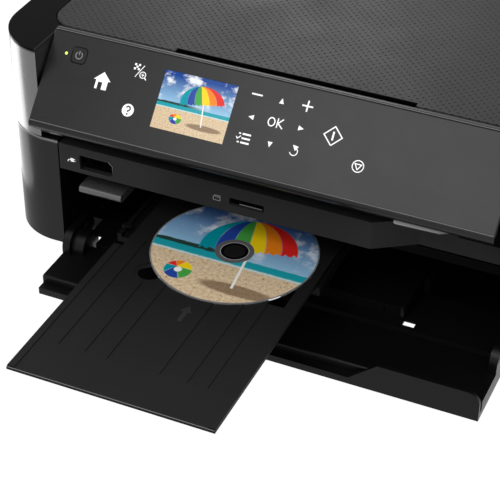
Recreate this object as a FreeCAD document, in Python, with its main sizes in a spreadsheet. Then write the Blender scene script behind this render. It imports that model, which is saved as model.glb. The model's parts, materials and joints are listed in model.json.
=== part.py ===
import FreeCAD, Part
import os
import re
import PartDesign
import Sketcher

# Disc label printer: an inkjet printer with a flatbed scanner, a tilting control panel, a
# fold-down front cover and a tray that carries a disc through the print path.
#
# Frame: +X to the printer's right as seen from its front, +Y to its rear, +Z up. The origin
# lies on the table, below the middle of the overall box (body plus the disc tray in front).
#
# SIZES holds every driving dimension, in millimetres or degrees; each becomes a cell of the
# sheet "dims". PLACES holds the derived places, each a formula of those sizes. A formula in the
# model names sizes and places, and "bind" ties the object's property to it. A size that ends in
# _in is a distance in from the printer's front face.

SIZES = {
    # Body envelope
    "body_width": 446,
    "disc_tray_reach": 182,
    "foot_height": 4,
    "case_bottom": 24,
    "head_room": 5,
    "seam_gap": 1,
    "lid_sink": 12,
    "wall": 2.5,
    "past": 1,
    "trim_reach": 9,
    "fascia_end_gap": 1,
    "hinge_behind": 6,
    "pulley_lip": 0.5,
    "body_corner": 43,
    "case_edge": 1.8,
    "rear_corner": 12,
    "column_width": 52.5,
    "fit_gap": 0.3,
    "running_gap": 0.05,
    "lid_proud": 1,
    "cheek_depth": 62,
    # Base
    "base_inset": 23,
    "base_front": 57,
    "base_rear_inset": 34,
    "pan_floor": 2.5,
    "tongue_front": 14,
    "tongue_left_gap": 18.6,
    "tongue_right_gap": 11.6,
    "apron_front": 24.6,
    "apron_gap": 0.8,
    "tongue_bottom": 18,
    "tongue_lip_bottom": 14.5,
    "tongue_lip_thick": 1.5,
    "toe_front": 44,
    "bay_floor": 19.7,
    "notch_left": 91.8,
    "notch_width": 8.8,
    "notch_length": 6,
    "notch_setback": 4,
    "foot_radius": 9,
    "foot_inset_x": 15,
    "foot_inset_y": 15,
    "runner_gap": 1,
    "runner_width": 5,
    "sill_y": 150,
    "sill_width": 10,
    "pad_width": 60,
    "pad_margin": 10.5,
    "pad_front": 172,
    "pad_rear_gap": 10,
    "pad_height": 11,
    # Fascia with the ports
    "fascia_height": 22.1,
    "fascia_gap": 0.5,
    "fascia_depth": 36,
    "fascia_recess": 19,
    "fascia_bend": 71,
    "bend_shift": 0.75,
    "fascia_edge": 0.6,
    "fascia_slant": 28.5,
    "fascia_bend_round": 5,
    "usb_inset": 17.5,
    "usb_width": 27,
    "usb_rise": 3.2,
    "usb_height": 12.6,
    "usb_clip": 3,
    "card_left": -34.4,
    "card_width": 26.4,
    "card_rise": 6.8,
    "card_height": 5.8,
    "port_depth": 6,
    "socket_inset": 1.5,
    "socket_back": 20,
    "socket_slot_width": 13.2,
    "socket_slot_height": 5.6,
    "reader_back": 28,
    "reader_margin": 2,
    "reader_slot": 2.6,
    "mouth_drop": 0.8,
    "socket_end": 3,
    "contact_rise": 0.4,
    "contact_thick": 1.7,
    "reader_side": 1,
    "reader_end": 3,
    "reader_wide_rise": 2.8,
    "reader_step": 3,
    "reader_low": 0.4,
    "reader_thin": 1.5,
    "board_thick": 1.6,
    # Front cover
    "cover_gap": 1.5,
    "cover_front": 43.3,
    "cover_bottom": 6.9,
    "cover_plate_top": 19.1,
    "cover_lip_top": 12.4,
    "cover_ledge": 6.8,
    "cover_rear": 10,
    "pivot_in": 20.4,
    "cover_pivot_z": 27.3,
    "tall_lip_top": 29.5,
    "tall_lip_start": 75.3,
    "tall_lip_slope": 20.4,
    "tall_lip_corner": 9,
    "lip_overlap": 4,
    "lip_thick": 2.8,
    "arm_thick": 6,
    "arm_front": 6.5,
    "arm_rear": 33,
    "arm_top": 36.5,
    "arm_bottom": 9,
    "arm_round": 13,
    "arm_rear_round": 12,
    "pivot_radius": 3,
    "boss_in": 9,
    "boss_z": 20,
    "boss_radius": 12.5,
    "boss_width": 9.5,
    "boss_gap": 0.5,
    "cover_edge_round": 1.4,
    "pivot_head": 4.6,
    "pivot_head_thick": 1.6,
    # Paper output tray
    "stacker_left": -124,
    "stacker_right": 92,
    "stacker_front": 22.4,
    "stacker_rear": 205,
    "stacker_height": 11,
    "stacker_top": 2.4,
    "stacker_round": 7,
    "stacker_cheek": 15,
    "extension_height": 6.6,
    "extension_inset": 1.2,
    "extension_gap": 0.2,
    "stacker_skin": 1.6,
    "extension_length": 150,
    "extension_setback": 1,
    # Disc tray, disc and its guide
    "disc_x": -26.5,
    "disc_in": -7.9,
    "tray_top": 65,
    "tray_thick": 2.3,
    "tray_left_margin": 21.9,
    "tray_right_margin": 6.5,
    "tray_rear": 88,
    "tray_step": 6.4,
    "tray_step_y": -34.3,
    "disc_radius": 60,
    "disc_hole": 7.5,
    "disc_thick": 1.2,
    "disc_seat": 0.8,
    "finger_hole": 8.4,
    "finger_out": 3.45,
    "finger_turn": 226.5,
    "guide_thick": 4.3,
    "guide_front": -22,
    "guide_rear": 86,
    "guide_rail": 3.2,
    "guide_side_gap": 0.8,
    "guide_lip": 2.2,
    "hub_gap": 0.1,
    "hub_sink": 0.5,
    "seat_gap": 0.6,
    "finger_ring": 2.6,
    "finger_ring_deep": 0.5,
    "thumb_shift": 44.5,
    "thumb_width": 12.4,
    "thumb_fore": 44.3,
    "thumb_length": 24,
    "rim_width": 5.2,
    "rim_high": 0.5,
    "rim_setback": 1.2,
    "tray_edge": 0.5,
    "band_1": -62.7,
    "band_2": -43.3,
    "band_3": -26.9,
    "band_4": 11.1,
    "band_5": 31,
    "band_6": 45.2,
    "band_width": 13,
    "band_deep": 0.5,
    "band_setback": 34,
    "band_length": 125,
    "nub_radius": 1.4,
    "nub_high": 0.6,
    "nub_turn_left": 148,
    "nub_turn_right": 12,
    "nub_out": 2.6,
    "tab_back": -15,
    "tab_deep": 3,
    "tab_width": 7,
    "tab_rise": 1.2,
    "tab_thick": 1.2,
    # Grey disc lever
    "lever_inset": 15.5,
    "lever_width": 34,
    "lever_thick": 6.4,
    "lever_rise": 11.4,
    "lever_pivot_in": 66,
    "lever_pin": 2,
    "lever_boss": 5,
    "lever_nose": 3.1,
    "lever_pin_tail": 4,
    # Control panel
    "panel_tilt": 48,
    "panel_left_margin": 40.6,
    "panel_right_margin": 62.8,
    "panel_hinge_in": 30.4,
    "panel_hinge_drop": 1.9,
    "panel_face": 5,
    "panel_upper": 2.5,
    "panel_lower": 65,
    "panel_skin": 3,
    "panel_thick": 9,
    "panel_inset": 1.6,
    "panel_edge": 1,
    "lip_reach": 4,
    "lip_drop": 1,
    "lip_edge": 1,
    "screen_width": 54.86,
    "screen_height": 41.15,
    "screen_inset": 90.9,
    "screen_top": 8,
    "power_inset": 24.1,
    "power_y": 12.7,
    "power_size": 11.6,
    "power_round": 3,
    "power_proud": 0.4,
    "led_inset": 13.9,
    "led_y": 13,
    "led_radius": 1.1,
    "bar_inset": 69.5,
    "bar_width": 37,
    "bar_lower": 71.4,
    "bar_length": 9,
    "bar_thick": 3.6,
    "bar_travel": 2.5,
    "bar_taper": 0.8,
    "bar_tip": 6,
    "bar_tip_rise": 2.8,
    "stem_inset": 8,
    "stem_low_gap": 5.4,
    "stem_length": 3,
    "bar_well_deep": 1.4,
    "bar_notch_deep": 16,
    "bar_notch_gap": 2,
    "bar_notch_top": 17,
    "panel_close": 66,
    "recess_gap": 6,
    "hinge_pin": 1.6,
    "knuckle": 2.5,
    "knuckle_length": 9,
    "screen_gap": 0.15,
    "screen_sink": 0.1,
    "key_gap": 0.3,
    "key_deep": 1.4,
    "key_edge": 0.8,
    "panel_round": 4,
    "board_length": 180,
    "board_inset": 10.2,
    "board_lower": 56,
    "board_upper": 6,
    "bar_back": 7.9,
    "bar_round": 1.2,
    "pin_seat": 5,
    "pin_end_gap": 0.2,
    # Scanner housing, lid and scan unit
    "housing_margin": 58,
    "housing_rear_slope": 26,
    "lid_margin": 27.5,
    "lid_front": 37.5,
    "lid_rear_margin": 36,
    "lid_thick": 8.7,
    "lid_corner": 22,
    "lid_gap": 1,
    "scan_room": 59,
    "deck_thick": 6,
    "glass_width": 310,
    "glass_depth": 220,
    "glass_front": 69,
    "glass_rear_margin": 3,
    "glass_thick": 3,
    "glass_ledge": 5,
    "glass_gap": 0.2,
    "glass_sink": 0.1,
    "pad_thick": 3.6,
    "lid_pad_margin": 4,
    "notch_from": -93,
    "notch_to": 84,
    "notch_deep": 5,
    "notch_floor": 2,
    "lid_pin_behind": 5.5,
    "lid_pin_drop": 3.5,
    "lid_knuckle": 4.4,
    "lid_knuckle_x": 110,
    "lid_knuckle_width": 20,
    "knuckle_gap": 0.5,
    "knuckle_room": 0.8,
    "scan_bar_width": 18,
    "scan_bar_height": 19,
    "scan_rod_radius": 3,
    "scan_rod_drop": 28,
    "scan_margin": 5,
    "scan_slit_inset": 6,
    "scan_slit_end": 4,
    "scan_slit_deep": 1.5,
    "hinge_reach": 4,
    "hinge_rise": 1,
    "hinge_radius": 2.5,
    "hinge_knuckle": 4.7,
    "hinge_knuckle_width": 7,
    "hinge_side_gap": 2,
    "hinge_root": 6,
    "hinge_pin_tail": 0.5,
    "lid_round_rear": 6,
    "side_gap": 1,
    "cavity_lead": 17,
    "cavity_wall": 4,
    "ear_gap": 1.5,
    "ear_depth": 8,
    "ear_room": 14,
    "web_top": 4.7,
    "rod_y": 110,
    "rest_radius": 5,
    "rest_y": 80,
    "lid_pin": 1.5,
    "lid_pin_seat": 3,
    "scan_start_gap": 5,
    "scan_drop": 1.6,
    "scan_boss": 6,
    "lid_edge": 1.2,
    "lid_wall": 2.5,
    "lid_skin": 3,
    "inner_plate": 2,
    "lid_rest_x": 150,
    "lid_rest_y": 41.5,
    "lid_rest": 3,
    # Chassis, carriage and paper feed
    "chassis_gap": 6.5,
    "chassis_thick": 1.5,
    "chassis_front": 60,
    "chassis_drop": 2,
    "rail_in": 214,
    "rail_height": 40,
    "rail_flange": 14,
    "shaft_in": 186,
    "shaft_rise": 8,
    "shaft_radius": 4,
    "carriage_park": 10,
    "carriage_width": 92,
    "carriage_front": 122,
    "carriage_rear": 197,
    "head_gap": 2.4,
    "carriage_height": 32,
    "head_height": 4.6,
    "head_front": 130,
    "head_depth": 34,
    "tank_count": 6,
    "tank_width": 13,
    "tank_pitch": 14.2,
    "tank_front": 125,
    "tank_depth": 50,
    "tank_rise": 6,
    "tank_floor": 3,
    "belt_in": 204,
    "belt_width": 5,
    "belt_drop": 6,
    "belt_margin": 16,
    "belt_thick": 1.2,
    "pulley_radius": 6,
    "motor_radius": 11.5,
    "motor_length": 34,
    "motor_bore": 12,
    "shaft_in_motor": 11,
    "feed_in": 178,
    "roller_radius": 5.8,
    "roller_gap": 0.9,
    "roller_core": 3,
    "exit_in": 94,
    "drive_radius": 8,
    "drive_width": 4,
    "feed_motor_in": 224,
    "feed_motor_z": 38.5,
    "platen_height": 7,
    "arm_reach": 24,
    "crossbar_y": 62,
    "crossbar_depth": 18,
    "crossbar_height": 8,
    "idler_stud": 1.5,
    "motor_shaft": 1.5,
    "rail_thick": 1.5,
    "link_inset": 4,
    "drive_inset": 10,
    "clamp_inset": 30,
    "clamp_width": 32,
    "clamp_behind": 4,
    "clamp_front_gap": 1.5,
    "clamp_below": 4.4,
    "clamp_above": 5.6,
    "tank_gap": 0.3,
    "tank_start": 4,
    "tank_nose": 12,
    "head_inset": 6,
    "belt_room": 0.4,
    "platen_front": 104,
    "platen_beam": 10,
    "platen_table": 64,
    "platen_drop": 0.2,
    "platen_gap": 6,
    "foam_width": 12,
    "foam_deep": 1.5,
    "trough_left": 20,
    "trough_right": 12,
    "foam_first": 14,
    "foam_second": 32,
    "feed_left_gap": 14,
    "feed_right_gap": 24,
    "sleeve_count": 7,
    "sleeve_width": 14,
    "sleeve_margin": 29,
    "sleeve_steps": 3,
    "pinch_radius": 1.9,
    "pinch_rise": 4,
    "pinch_bar_front": 186,
    "pinch_bar_depth": 12,
    "pinch_bar_gap": 2.4,
    "pinch_bar_height": 3.8,
    "pinch_arm": 3,
    "pinch_arm_gap": 2,
    "pinch_axle": 1.2,
    "pinch_shift": 2,
    "pinch_nose": 4,
    "pinch_offset": 15,
    "pinch_half": 9,
    "drive_room": 0.3,
    "drive_belt": 1.2,
    "belt_side_gap": 0.5,
    # Rear feeder, power and boards
    "feeder_left": -146,
    "feeder_right": 140,
    "feeder_depth": 47,
    "feeder_rise": 45,
    "slot_left_margin": 34,
    "slot_right_margin": 36,
    "slot_setback": 44,
    "slot_depth": 15.5,
    "slot_rise": 2,
    "support_margin": 7,
    "support_thick": 3,
    "support_rise": 21,
    "guide_margin": 7,
    "guide_thin": 4,
    "slide_gap": 0.5,
    "guide_height": 54,
    "inlet_margin": 28,
    "inlet_width": 28,
    "inlet_height": 20,
    "inlet_z": 48,
    "port_sink": 0.5,
    "link_port_margin": 38,
    "link_port_width": 12.5,
    "link_port_height": 11.5,
    "link_port_z": 52,
    "tower_height": 76,
    "tower_wall": 3,
    "throat_inset": 4,
    "throat_front": 4,
    "throat_depth": 5,
    "slit_gap": 0.4,
    "support_back": 1.6,
    "screw_margin": 17,
    "screw_low": 40,
    "screw_high": 100,
    "screw_head": 3.5,
    "screw_head_thick": 1.4,
    "screw_sink": 1.6,
    "screw_shank": 1.5,
    "screw_length": 14,
    "inlet_deep": 20,
    "inlet_pocket": 12,
    "inlet_lobe": 3.7,
    "inlet_pitch": 8.6,
    "inlet_pin": 1.2,
    "inlet_waist": 0.8,
    "inlet_pin_sink": 3,
    "link_deep": 16,
    "link_wall": 1.2,
    "link_tongue": 1.5,
    "link_back": 3,
    "link_side": 3,
    "link_sink": 3,
    "station_gap": 4,
    "station_front": 120,
    "station_depth": 50,
    "station_height": 24,
    "station_drop": 5,
    "leg_width": 60,
    "leg_inset": 12,
    "cap_margin_left": 10,
    "cap_margin_right": 4,
    "cap_inset": 11,
    "cap_depth": 32,
    "cap_rise": 1.8,
    "cap_wall": 2,
    "cap_sink": 3,
    "main_board_gap": 5.5,
    "main_board_front": 82,
    "main_board_depth": 200,
    "main_board_height": 78,
    "supply_margin": 7,
    "supply_width": 38,
    "supply_rear_gap": 4,
    "supply_motor_gap": 26.5,
    "supply_height": 58,
}

PLACES = {
    # Body
    "body_depth": "glass_front + glass_depth + glass_rear_margin + lid_rear_margin + housing_margin",
    "front": "(disc_tray_reach - body_depth) / 2",
    "rear": "(disc_tray_reach + body_depth) / 2",
    "tray_front": "-(disc_tray_reach + body_depth) / 2",
    "body_half": "body_width / 2",
    "bay_width": "body_width - 2 * column_width",
    "bay_half": "bay_width / 2",
    "pan_front": "front + base_front",
    "pan_rear": "rear - base_rear_inset",
    "pan_top": "foot_height + pan_floor",
    "tongue_left": "tongue_left_gap - bay_half",
    "tongue_right": "bay_half - tongue_right_gap",
    "apron_half": "cover_half - arm_thick - apron_gap",
    "base_half": "body_half - base_inset",
    "case_floor": "case_bottom + wall",
    "case_top": "seam_height - seam_gap",
    "seam_height": "tank_top + head_room",
    "deck_height": "seam_height + scan_room",
    "housing_top": "deck_height + lid_sink",
    "lid_top": "housing_top + lid_proud",
    "pad_left": "pad_right - pad_width",
    "pad_right": "bay_half - pad_margin",
    "pad_rear_y": "pan_rear - pad_rear_gap",
    "rest_x": "(body_half + bay_half) / 2",
    # Fascia
    "fascia_left": "fascia_end_gap - bay_half",
    "fascia_right": "bay_half - fascia_end_gap",
    "fascia_top": "case_top - fascia_gap",
    "fascia_bottom": "fascia_top - fascia_height",
    "fascia_floor": "fascia_bottom + wall",
    "usb_left": "usb_inset - bay_half",
    "usb_bottom": "fascia_bottom + usb_rise",
    "card_bottom": "fascia_bottom + card_rise",
    # Front cover and paper output tray
    "cover_half": "bay_half - cover_gap",
    "cover_face": "front - cover_front",
    "pivot_y": "front + pivot_in",
    "stack_bottom": "bay_floor + fit_gap",
    "stack_top": "stack_bottom + stacker_height",
    "stack_face": "front + stacker_front",
    # Disc path
    "disc_y": "front + disc_in",
    "disc_floor": "tray_top - disc_seat",
    "tray_bottom": "tray_top - tray_thick",
    "tray_left": "disc_x - disc_radius - tray_left_margin",
    "tray_right": "disc_x + disc_radius + tray_right_margin",
    "hub_boss": "disc_hole - hub_gap",
    "nub_reach": "disc_radius + nub_out",
    "thumb_left": "disc_x + thumb_shift",
    "thumb_right": "thumb_left + thumb_width",
    "finger_x": "disc_x + (disc_radius + finger_out) * cos(finger_turn)",
    "finger_y": "disc_y + (disc_radius + finger_out) * sin(finger_turn)",
    "guide_top": "tray_bottom - fit_gap",
    "tab_bottom": "tray_top + tab_rise",
    "lever_left": "lever_inset - bay_half",
    "lever_y": "front + lever_pivot_in",
    "lever_z": "tray_top + lever_rise",
    # Control panel
    "panel_left": "panel_left_margin - body_half",
    "panel_right": "body_half - panel_right_margin",
    "panel_y": "front + panel_hinge_in",
    "panel_hinge_z": "housing_top - panel_hinge_drop",
    "panel_under": "panel_face - panel_skin",
    "panel_floor": "panel_face - panel_thick + wall",
    "screen_left": "panel_left + screen_inset",
    "power_x": "panel_left + power_inset",
    "led_x": "panel_left + led_inset",
    "bar_left": "panel_right - bar_inset",
    "bar_right": "bar_left + bar_width",
    "stem_left": "bar_left + stem_inset",
    "stem_right": "bar_right - stem_inset",
    "stem_low": "stem_low_gap - bar_lower",
    "bar_top": "bar_thick - bar_back",
    "board_left": "board_right - board_length",
    "board_right": "panel_right - board_inset",
    # Scanner unit
    "housing_back": "rear - housing_margin",
    "lid_back": "housing_back - lid_rear_margin",
    "lid_half": "body_half - lid_margin",
    "lid_under": "lid_top - lid_thick",
    "lid_hinge_y": "lid_back + lid_pin_behind",
    "lid_pin_z": "lid_top - lid_pin_drop",
    "hinge_y": "housing_back + hinge_reach",
    "hinge_z": "seam_height + hinge_rise",
    "glass_y": "front + glass_front",
    "cavity_front": "glass_front - cavity_lead",
    "scan_start": "scan_start_gap - glass_width / 2",
    "scan_rod_y": "glass_y + rod_y",
    "scan_rod_z": "deck_height - scan_rod_drop",
    # Chassis and carriage
    "chassis_x": "bay_half - chassis_gap",
    "chassis_rear": "hinge_y + hinge_behind",
    "chassis_top": "rail_top - chassis_drop",
    "ear_top": "hinge_z + hinge_behind",
    "rail_y": "front + rail_in",
    "rail_top": "tank_top",
    "rail_bottom": "rail_top - rail_height",
    "shaft_y": "front + shaft_in",
    "shaft_z": "carriage_bottom + shaft_rise",
    "carriage_left": "chassis_x - carriage_park - carriage_width",
    "carriage_right": "carriage_left + carriage_width",
    "carriage_bottom": "tray_top + head_gap + head_height",
    "carriage_top": "carriage_bottom + carriage_height",
    "tank_bottom": "carriage_bottom + tank_floor",
    "tank_top": "carriage_top + tank_rise",
    "belt_y": "front + belt_in",
    "belt_z": "carriage_top - belt_drop",
    "belt_end": "chassis_x - belt_margin",
    "belt_low": "belt_z - pulley_radius - belt_room - belt_thick",
    "clamp_bottom": "belt_low - clamp_below",
    "clamp_top": "belt_low + clamp_above",
    "motor_face": "rail_y + rail_thick",
    "pulley_front": "belt_y - belt_width / 2 - pulley_lip",
    "pulley_rear": "belt_y + belt_width / 2 + pulley_lip",
    # Paper feed
    "feed_y": "front + feed_in",
    "exit_y": "front + exit_in",
    "feed_motor_y": "front + feed_motor_in",
    "feed_face": "-chassis_x - chassis_thick",
    "roller_z": "tray_bottom - roller_gap - roller_radius",
    "link_plane": "link_inset - chassis_x",
    "drive_plane": "drive_inset - chassis_x",
    "belt_inner": "drive_radius + drive_room",
    "feed_left": "feed_left_gap - chassis_x",
    "feed_right": "chassis_x - feed_right_gap",
    "sleeve_pitch": "(chassis_x - sleeve_margin) / sleeve_steps",
    "platen_top": "guide_top - platen_drop",
    "platen_end": "station_left - platen_gap",
    "pinch_z": "tray_top + pinch_rise",
    "pinch_y": "feed_y + pinch_shift",
    "pinch_bar_bottom": "tray_top + pinch_bar_gap",
    "pinch_bar_top": "pinch_bar_bottom + pinch_bar_height",
    "pinch_arm_left": "feed_left - pinch_arm_gap",
    "pinch_arm_right": "feed_right + pinch_arm_gap / 2",
    # Maintenance station
    "station_y": "front + station_front",
    "station_left": "carriage_left + station_gap",
    "station_right": "chassis_x - station_gap",
    "station_bottom": "station_top - station_height",
    "station_top": "tray_top - station_drop",
    "leg_left": "station_right - leg_width",
    "cap_left": "carriage_left + cap_margin_left",
    "cap_right": "carriage_right - cap_margin_right",
    "cap_top": "tray_top + cap_rise",
    # Rear feeder, power and boards
    "slot_y": "rear - slot_setback",
    "slot_left": "feeder_left + slot_left_margin",
    "slot_right": "feeder_right - slot_right_margin",
    "slot_floor": "seam_height + slot_rise",
    "feeder_top": "seam_height + feeder_rise",
    "tower_bottom": "feeder_top - tower_height",
    "support_left": "slot_left + support_margin",
    "support_right": "slot_right - support_margin",
    "support_rear": "slot_y + slot_depth - support_back",
    "support_front": "support_rear - support_thick",
    "support_bottom": "tower_bottom",
    "support_top": "feeder_top + support_rise",
    "guide_x": "slot_right - guide_margin",
    "screw_seat": "rear - screw_sink",
    "screw_x": "body_half - screw_margin",
    "inlet_x": "inlet_margin - body_half",
    "link_port_x": "body_half - link_port_margin",
    "main_board_x": "bay_half + main_board_gap",
    "supply_left": "supply_margin - body_half",
    "supply_y": "feed_motor_y + motor_radius + supply_motor_gap",
    "supply_depth": "pan_rear - supply_rear_gap - supply_y",
}

DOC = FreeCAD.newDocument("disc_label_printer")
DIMS = DOC.addObject("Spreadsheet::Sheet", "dims")
for row, (alias, number) in enumerate(SIZES.items(), start=1):
    DIMS.set(f"A{row}", alias)
    DIMS.set(f"B{row}", str(number))
    DIMS.setAlias(f"B{row}", alias)
DIMS.recompute()
PROBE = DOC.addObject("App::FeaturePython", "probe")
PROBE.addProperty("App::PropertyFloat", "number")
NODES = []
NEAR = 1e-4


def in_cells(formula):
    """A formula with each place written out and each size named as its cell."""
    def swap(found):
        word = found[0]
        if word in PLACES:
            return f"({in_cells(PLACES[word])})"
        return f"dims.{word}" if word in SIZES else word

    return re.sub(r"[a-z][a-z0-9_]*", swap, str(formula))


def bind(obj, prop, formula):
    """Bind a property to a formula of sizes and places."""
    obj.setExpression(prop, in_cells(formula))


def value(formula):
    """The number that a formula stands for."""
    bind(PROBE, "number", formula)
    PROBE.recompute()
    return PROBE.number


def move_to(obj, x, y, z):
    """Bind an object's position."""
    for axis, formula in zip("xyz", (x, y, z)):
        bind(obj, f"Placement.Base.{axis}", formula)


def box(x0, x1, y0, y1, z0, z1, name="Block"):
    """A box between two corners, each given as three formulas."""
    solid = DOC.addObject("Part::Box", name)
    bind(solid, "Length", f"({x1}) - ({x0})")
    bind(solid, "Width", f"({y1}) - ({y0})")
    bind(solid, "Height", f"({z1}) - ({z0})")
    move_to(solid, x0, y0, z0)
    return solid


TURNS = {
    "x": FreeCAD.Rotation(FreeCAD.Vector(0, 1, 0), 90),
    "y": FreeCAD.Rotation(FreeCAD.Vector(1, 0, 0), -90),
    "z": FreeCAD.Rotation(),
}


def rod(axis, radius, start, end, a, b, name="Rod"):
    """A round bar along an axis from start to end; a and b place it on the other two axes."""
    solid = DOC.addObject("Part::Cylinder", name)
    solid.Placement = FreeCAD.Placement(FreeCAD.Vector(), TURNS[axis])
    bind(solid, "Radius", radius)
    bind(solid, "Height", f"({end}) - ({start})")
    places = {"x": (start, a, b), "y": (a, start, b), "z": (a, b, start)}
    move_to(solid, *places[axis])
    return solid


def fuse(*solids, name="Joined"):
    """Solids joined into one shape, or kept side by side where they don't touch."""
    joined = DOC.addObject("Part::MultiFuse", name)
    joined.Shapes = list(solids)
    joined.Refine = True
    return joined


def cut(base, *tools, name="Shaped"):
    """The base with every tool taken away from it."""
    shaped = DOC.addObject("Part::Cut", name)
    shaped.Base = base
    shaped.Tool = tools[0] if len(tools) == 1 else fuse(*tools, name="Cutters")
    shaped.Refine = True
    return shaped


def common(first, second, name="Shared"):
    """What two solids have in common."""
    shared = DOC.addObject("Part::Common", name)
    shared.Base = first
    shared.Tool = second
    return shared


PLANES = {"xy": "XY_Plane", "xz": "XZ_Plane", "yz": "YZ_Plane"}


def prism(plane, outline, start, end, rounds=(), name="Profile"):
    """A PartDesign body: a sketched outline of (u, v) formulas, padded from start to end across
    its plane. rounds lists (corner number, radius formula) for the edges to be rounded."""
    body = DOC.addObject("PartDesign::Body", name)
    sketch = body.newObject("Sketcher::SketchObject", name + "Sketch")
    support = [p for p in body.Origin.OriginFeatures if p.Role == PLANES[plane]][0]
    sketch.AttachmentSupport = [(support, "")]
    sketch.MapMode = "FlatFace"
    flip = plane == "xz"
    bind(sketch, "AttachmentOffset.Base.z", f"-({start})" if flip else start)
    spots = [(value(u), value(v)) for u, v in outline]
    count = len(spots)
    for i in range(count):
        here = FreeCAD.Vector(*spots[i], 0)
        there = FreeCAD.Vector(*spots[(i + 1) % count], 0)
        sketch.addGeometry(Part.LineSegment(here, there), False)
    for i in range(count):
        sketch.addConstraint(Sketcher.Constraint("Coincident", i, 2, (i + 1) % count, 1))
    for i, (u, v) in enumerate(outline):
        for kind, formula, number in (("DistanceX", u, spots[i][0]), ("DistanceY", v, spots[i][1])):
            index = sketch.addConstraint(Sketcher.Constraint(kind, -1, 1, i, 1, number))
            bind(sketch, f"Constraints[{index}]", formula)
    pad = body.newObject("PartDesign::Pad", name + "Pad")
    pad.Profile = sketch
    pad.Reversed = flip
    bind(pad, "Length", f"({end}) - ({start})")
    body.Tip = pad
    DOC.recompute()
    for radius in sorted({r for _, r in rounds}):
        corners = [spots[i] for i, r in rounds if r == radius]
        edges = [f"Edge{n}" for n, edge in enumerate(body.Tip.Shape.Edges, 1)
                 if runs_across(edge, plane, corners)]
        round_edges(body, edges, radius, name + "Round")
    return body


def round_edges(body, edges, radius, name):
    """Add a fillet of one radius to some edges of a body's last feature."""
    before = body.Tip
    fillet = body.newObject("PartDesign::Fillet", name)
    fillet.Base = (before, edges)
    bind(fillet, "Radius", radius)
    body.Tip = fillet
    DOC.recompute()


def runs_across(edge, plane, corners):
    """Whether an edge runs square to the plane through one of the corners."""
    keep = {"xy": (0, 1), "xz": (0, 2), "yz": (1, 2)}[plane]
    ends = [tuple(vertex.Point[k] for k in keep) for vertex in edge.Vertexes]
    if len(ends) != 2:
        return False
    return any(all(abs(end[k] - corner[k]) < NEAR for end in ends for k in (0, 1)) for corner in corners)


def rectangle(u0, u1, v0, v1):
    """The four corners of an upright rectangle, from the low corner round."""
    return [(u0, v0), (u1, v0), (u1, v1), (u0, v1)]


def node(obj, label):
    """Name a finished sub-part; the name is also its file's name."""
    obj.Label = label
    NODES.append(obj)
    return obj


def span(sign, near, far):
    """The two x ends of something between near and far on one side of the middle."""
    return (near, far) if sign > 0 else (f"-({far})", f"-({near})")


def at_height(height):
    """A test for points at one height in a piece's own frame."""
    level = value(height)
    return lambda point: abs(point.z - level) < NEAR


def soften(body, chosen, radius, name="Softened"):
    """Round the edges of a body whose ends both pass the test."""
    edges = [f"Edge{n}" for n, edge in enumerate(body.Tip.Shape.Edges, 1)
             if all(chosen(vertex.Point) for vertex in edge.Vertexes)]
    round_edges(body, edges, radius, name)
    return body


def group(solids, label):
    """Separate solids of one kind kept as one node."""
    return node(fuse(*solids, name="Set"), label)


SIDES = (("left", -1), ("right", 1))


# ---- Base pan, feet and waste ink pad ----
def base_pan():
    """The tray that carries everything: side plinths with toes in front, a sunk middle and a thin
    tongue with a turned-down lip in front and a wider apron behind it."""
    inside = "(bay_half - wall)"
    block = box("-base_half", "base_half", "pan_front", "pan_rear", "foot_height", "case_bottom")
    well = box(f"-{inside}", inside, "pan_front + wall", "pan_rear - wall", "pan_top", "case_bottom + past")
    low_front = box(f"-{inside}", inside, "pan_front - past", "pan_front + wall + past", "bay_floor",
                    "case_bottom + past")
    shell = cut(block, well, low_front)
    tongue = fuse(box("tongue_left", "tongue_right", "front + tongue_front", "pan_front + wall",
                      "tongue_bottom", "bay_floor"),
                  box("tongue_left", "tongue_right", "front + tongue_front",
                      "front + tongue_front + tongue_lip_thick", "tongue_lip_bottom", "bay_floor"),
                  box("-apron_half", "apron_half", "front + apron_front", "pan_front + wall",
                      "tongue_bottom", "bay_floor"))
    toes = [box(*span(sign, "apron_half", "base_half"), "front + toe_front", "pan_front + wall",
                "foot_height", "bay_floor") for _, sign in SIDES]
    notch_y = "front + tongue_front + notch_setback"
    notch = box("notch_left", "notch_left + notch_width", notch_y, f"{notch_y} + notch_length",
                "tongue_bottom - past", "bay_floor + past")
    runners = [
        box("stacker_left - runner_gap - runner_width", "stacker_left - runner_gap", "pan_front + wall",
            "front + stacker_rear", "pan_top", "bay_floor + stacker_height"),
        box("stacker_right + runner_gap", "stacker_right + runner_gap + runner_width", "pan_front + wall",
            "front + stacker_rear", "pan_top", "bay_floor + stacker_height"),
        box("stacker_left - runner_gap", "stacker_right + runner_gap", "front + sill_y",
            "front + sill_y + sill_width", "pan_top", "bay_floor"),
    ]
    return node(fuse(shell, cut(tongue, notch), *toes, *runners), "base_pan")


base_pan()
group([rod("z", "foot_radius", "0", "foot_height", f"{sign} * (base_half - foot_inset_x)", y)
       for _, sign in SIDES for y in ("pan_front + foot_inset_y", "pan_rear - foot_inset_y")],
      "rubber_feet")
node(box("pad_left", "pad_right", "front + pad_front", "pad_rear_y", "pan_top",
         "pan_top + pad_height"), "waste_ink_pad")


def seen_rim(point):
    """True in front of the rear seam, and on the outer walls as far as that seam."""
    return point.y < value("pan_rear") - NEAR or abs(point.x) > value("body_half") - NEAR


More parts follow.
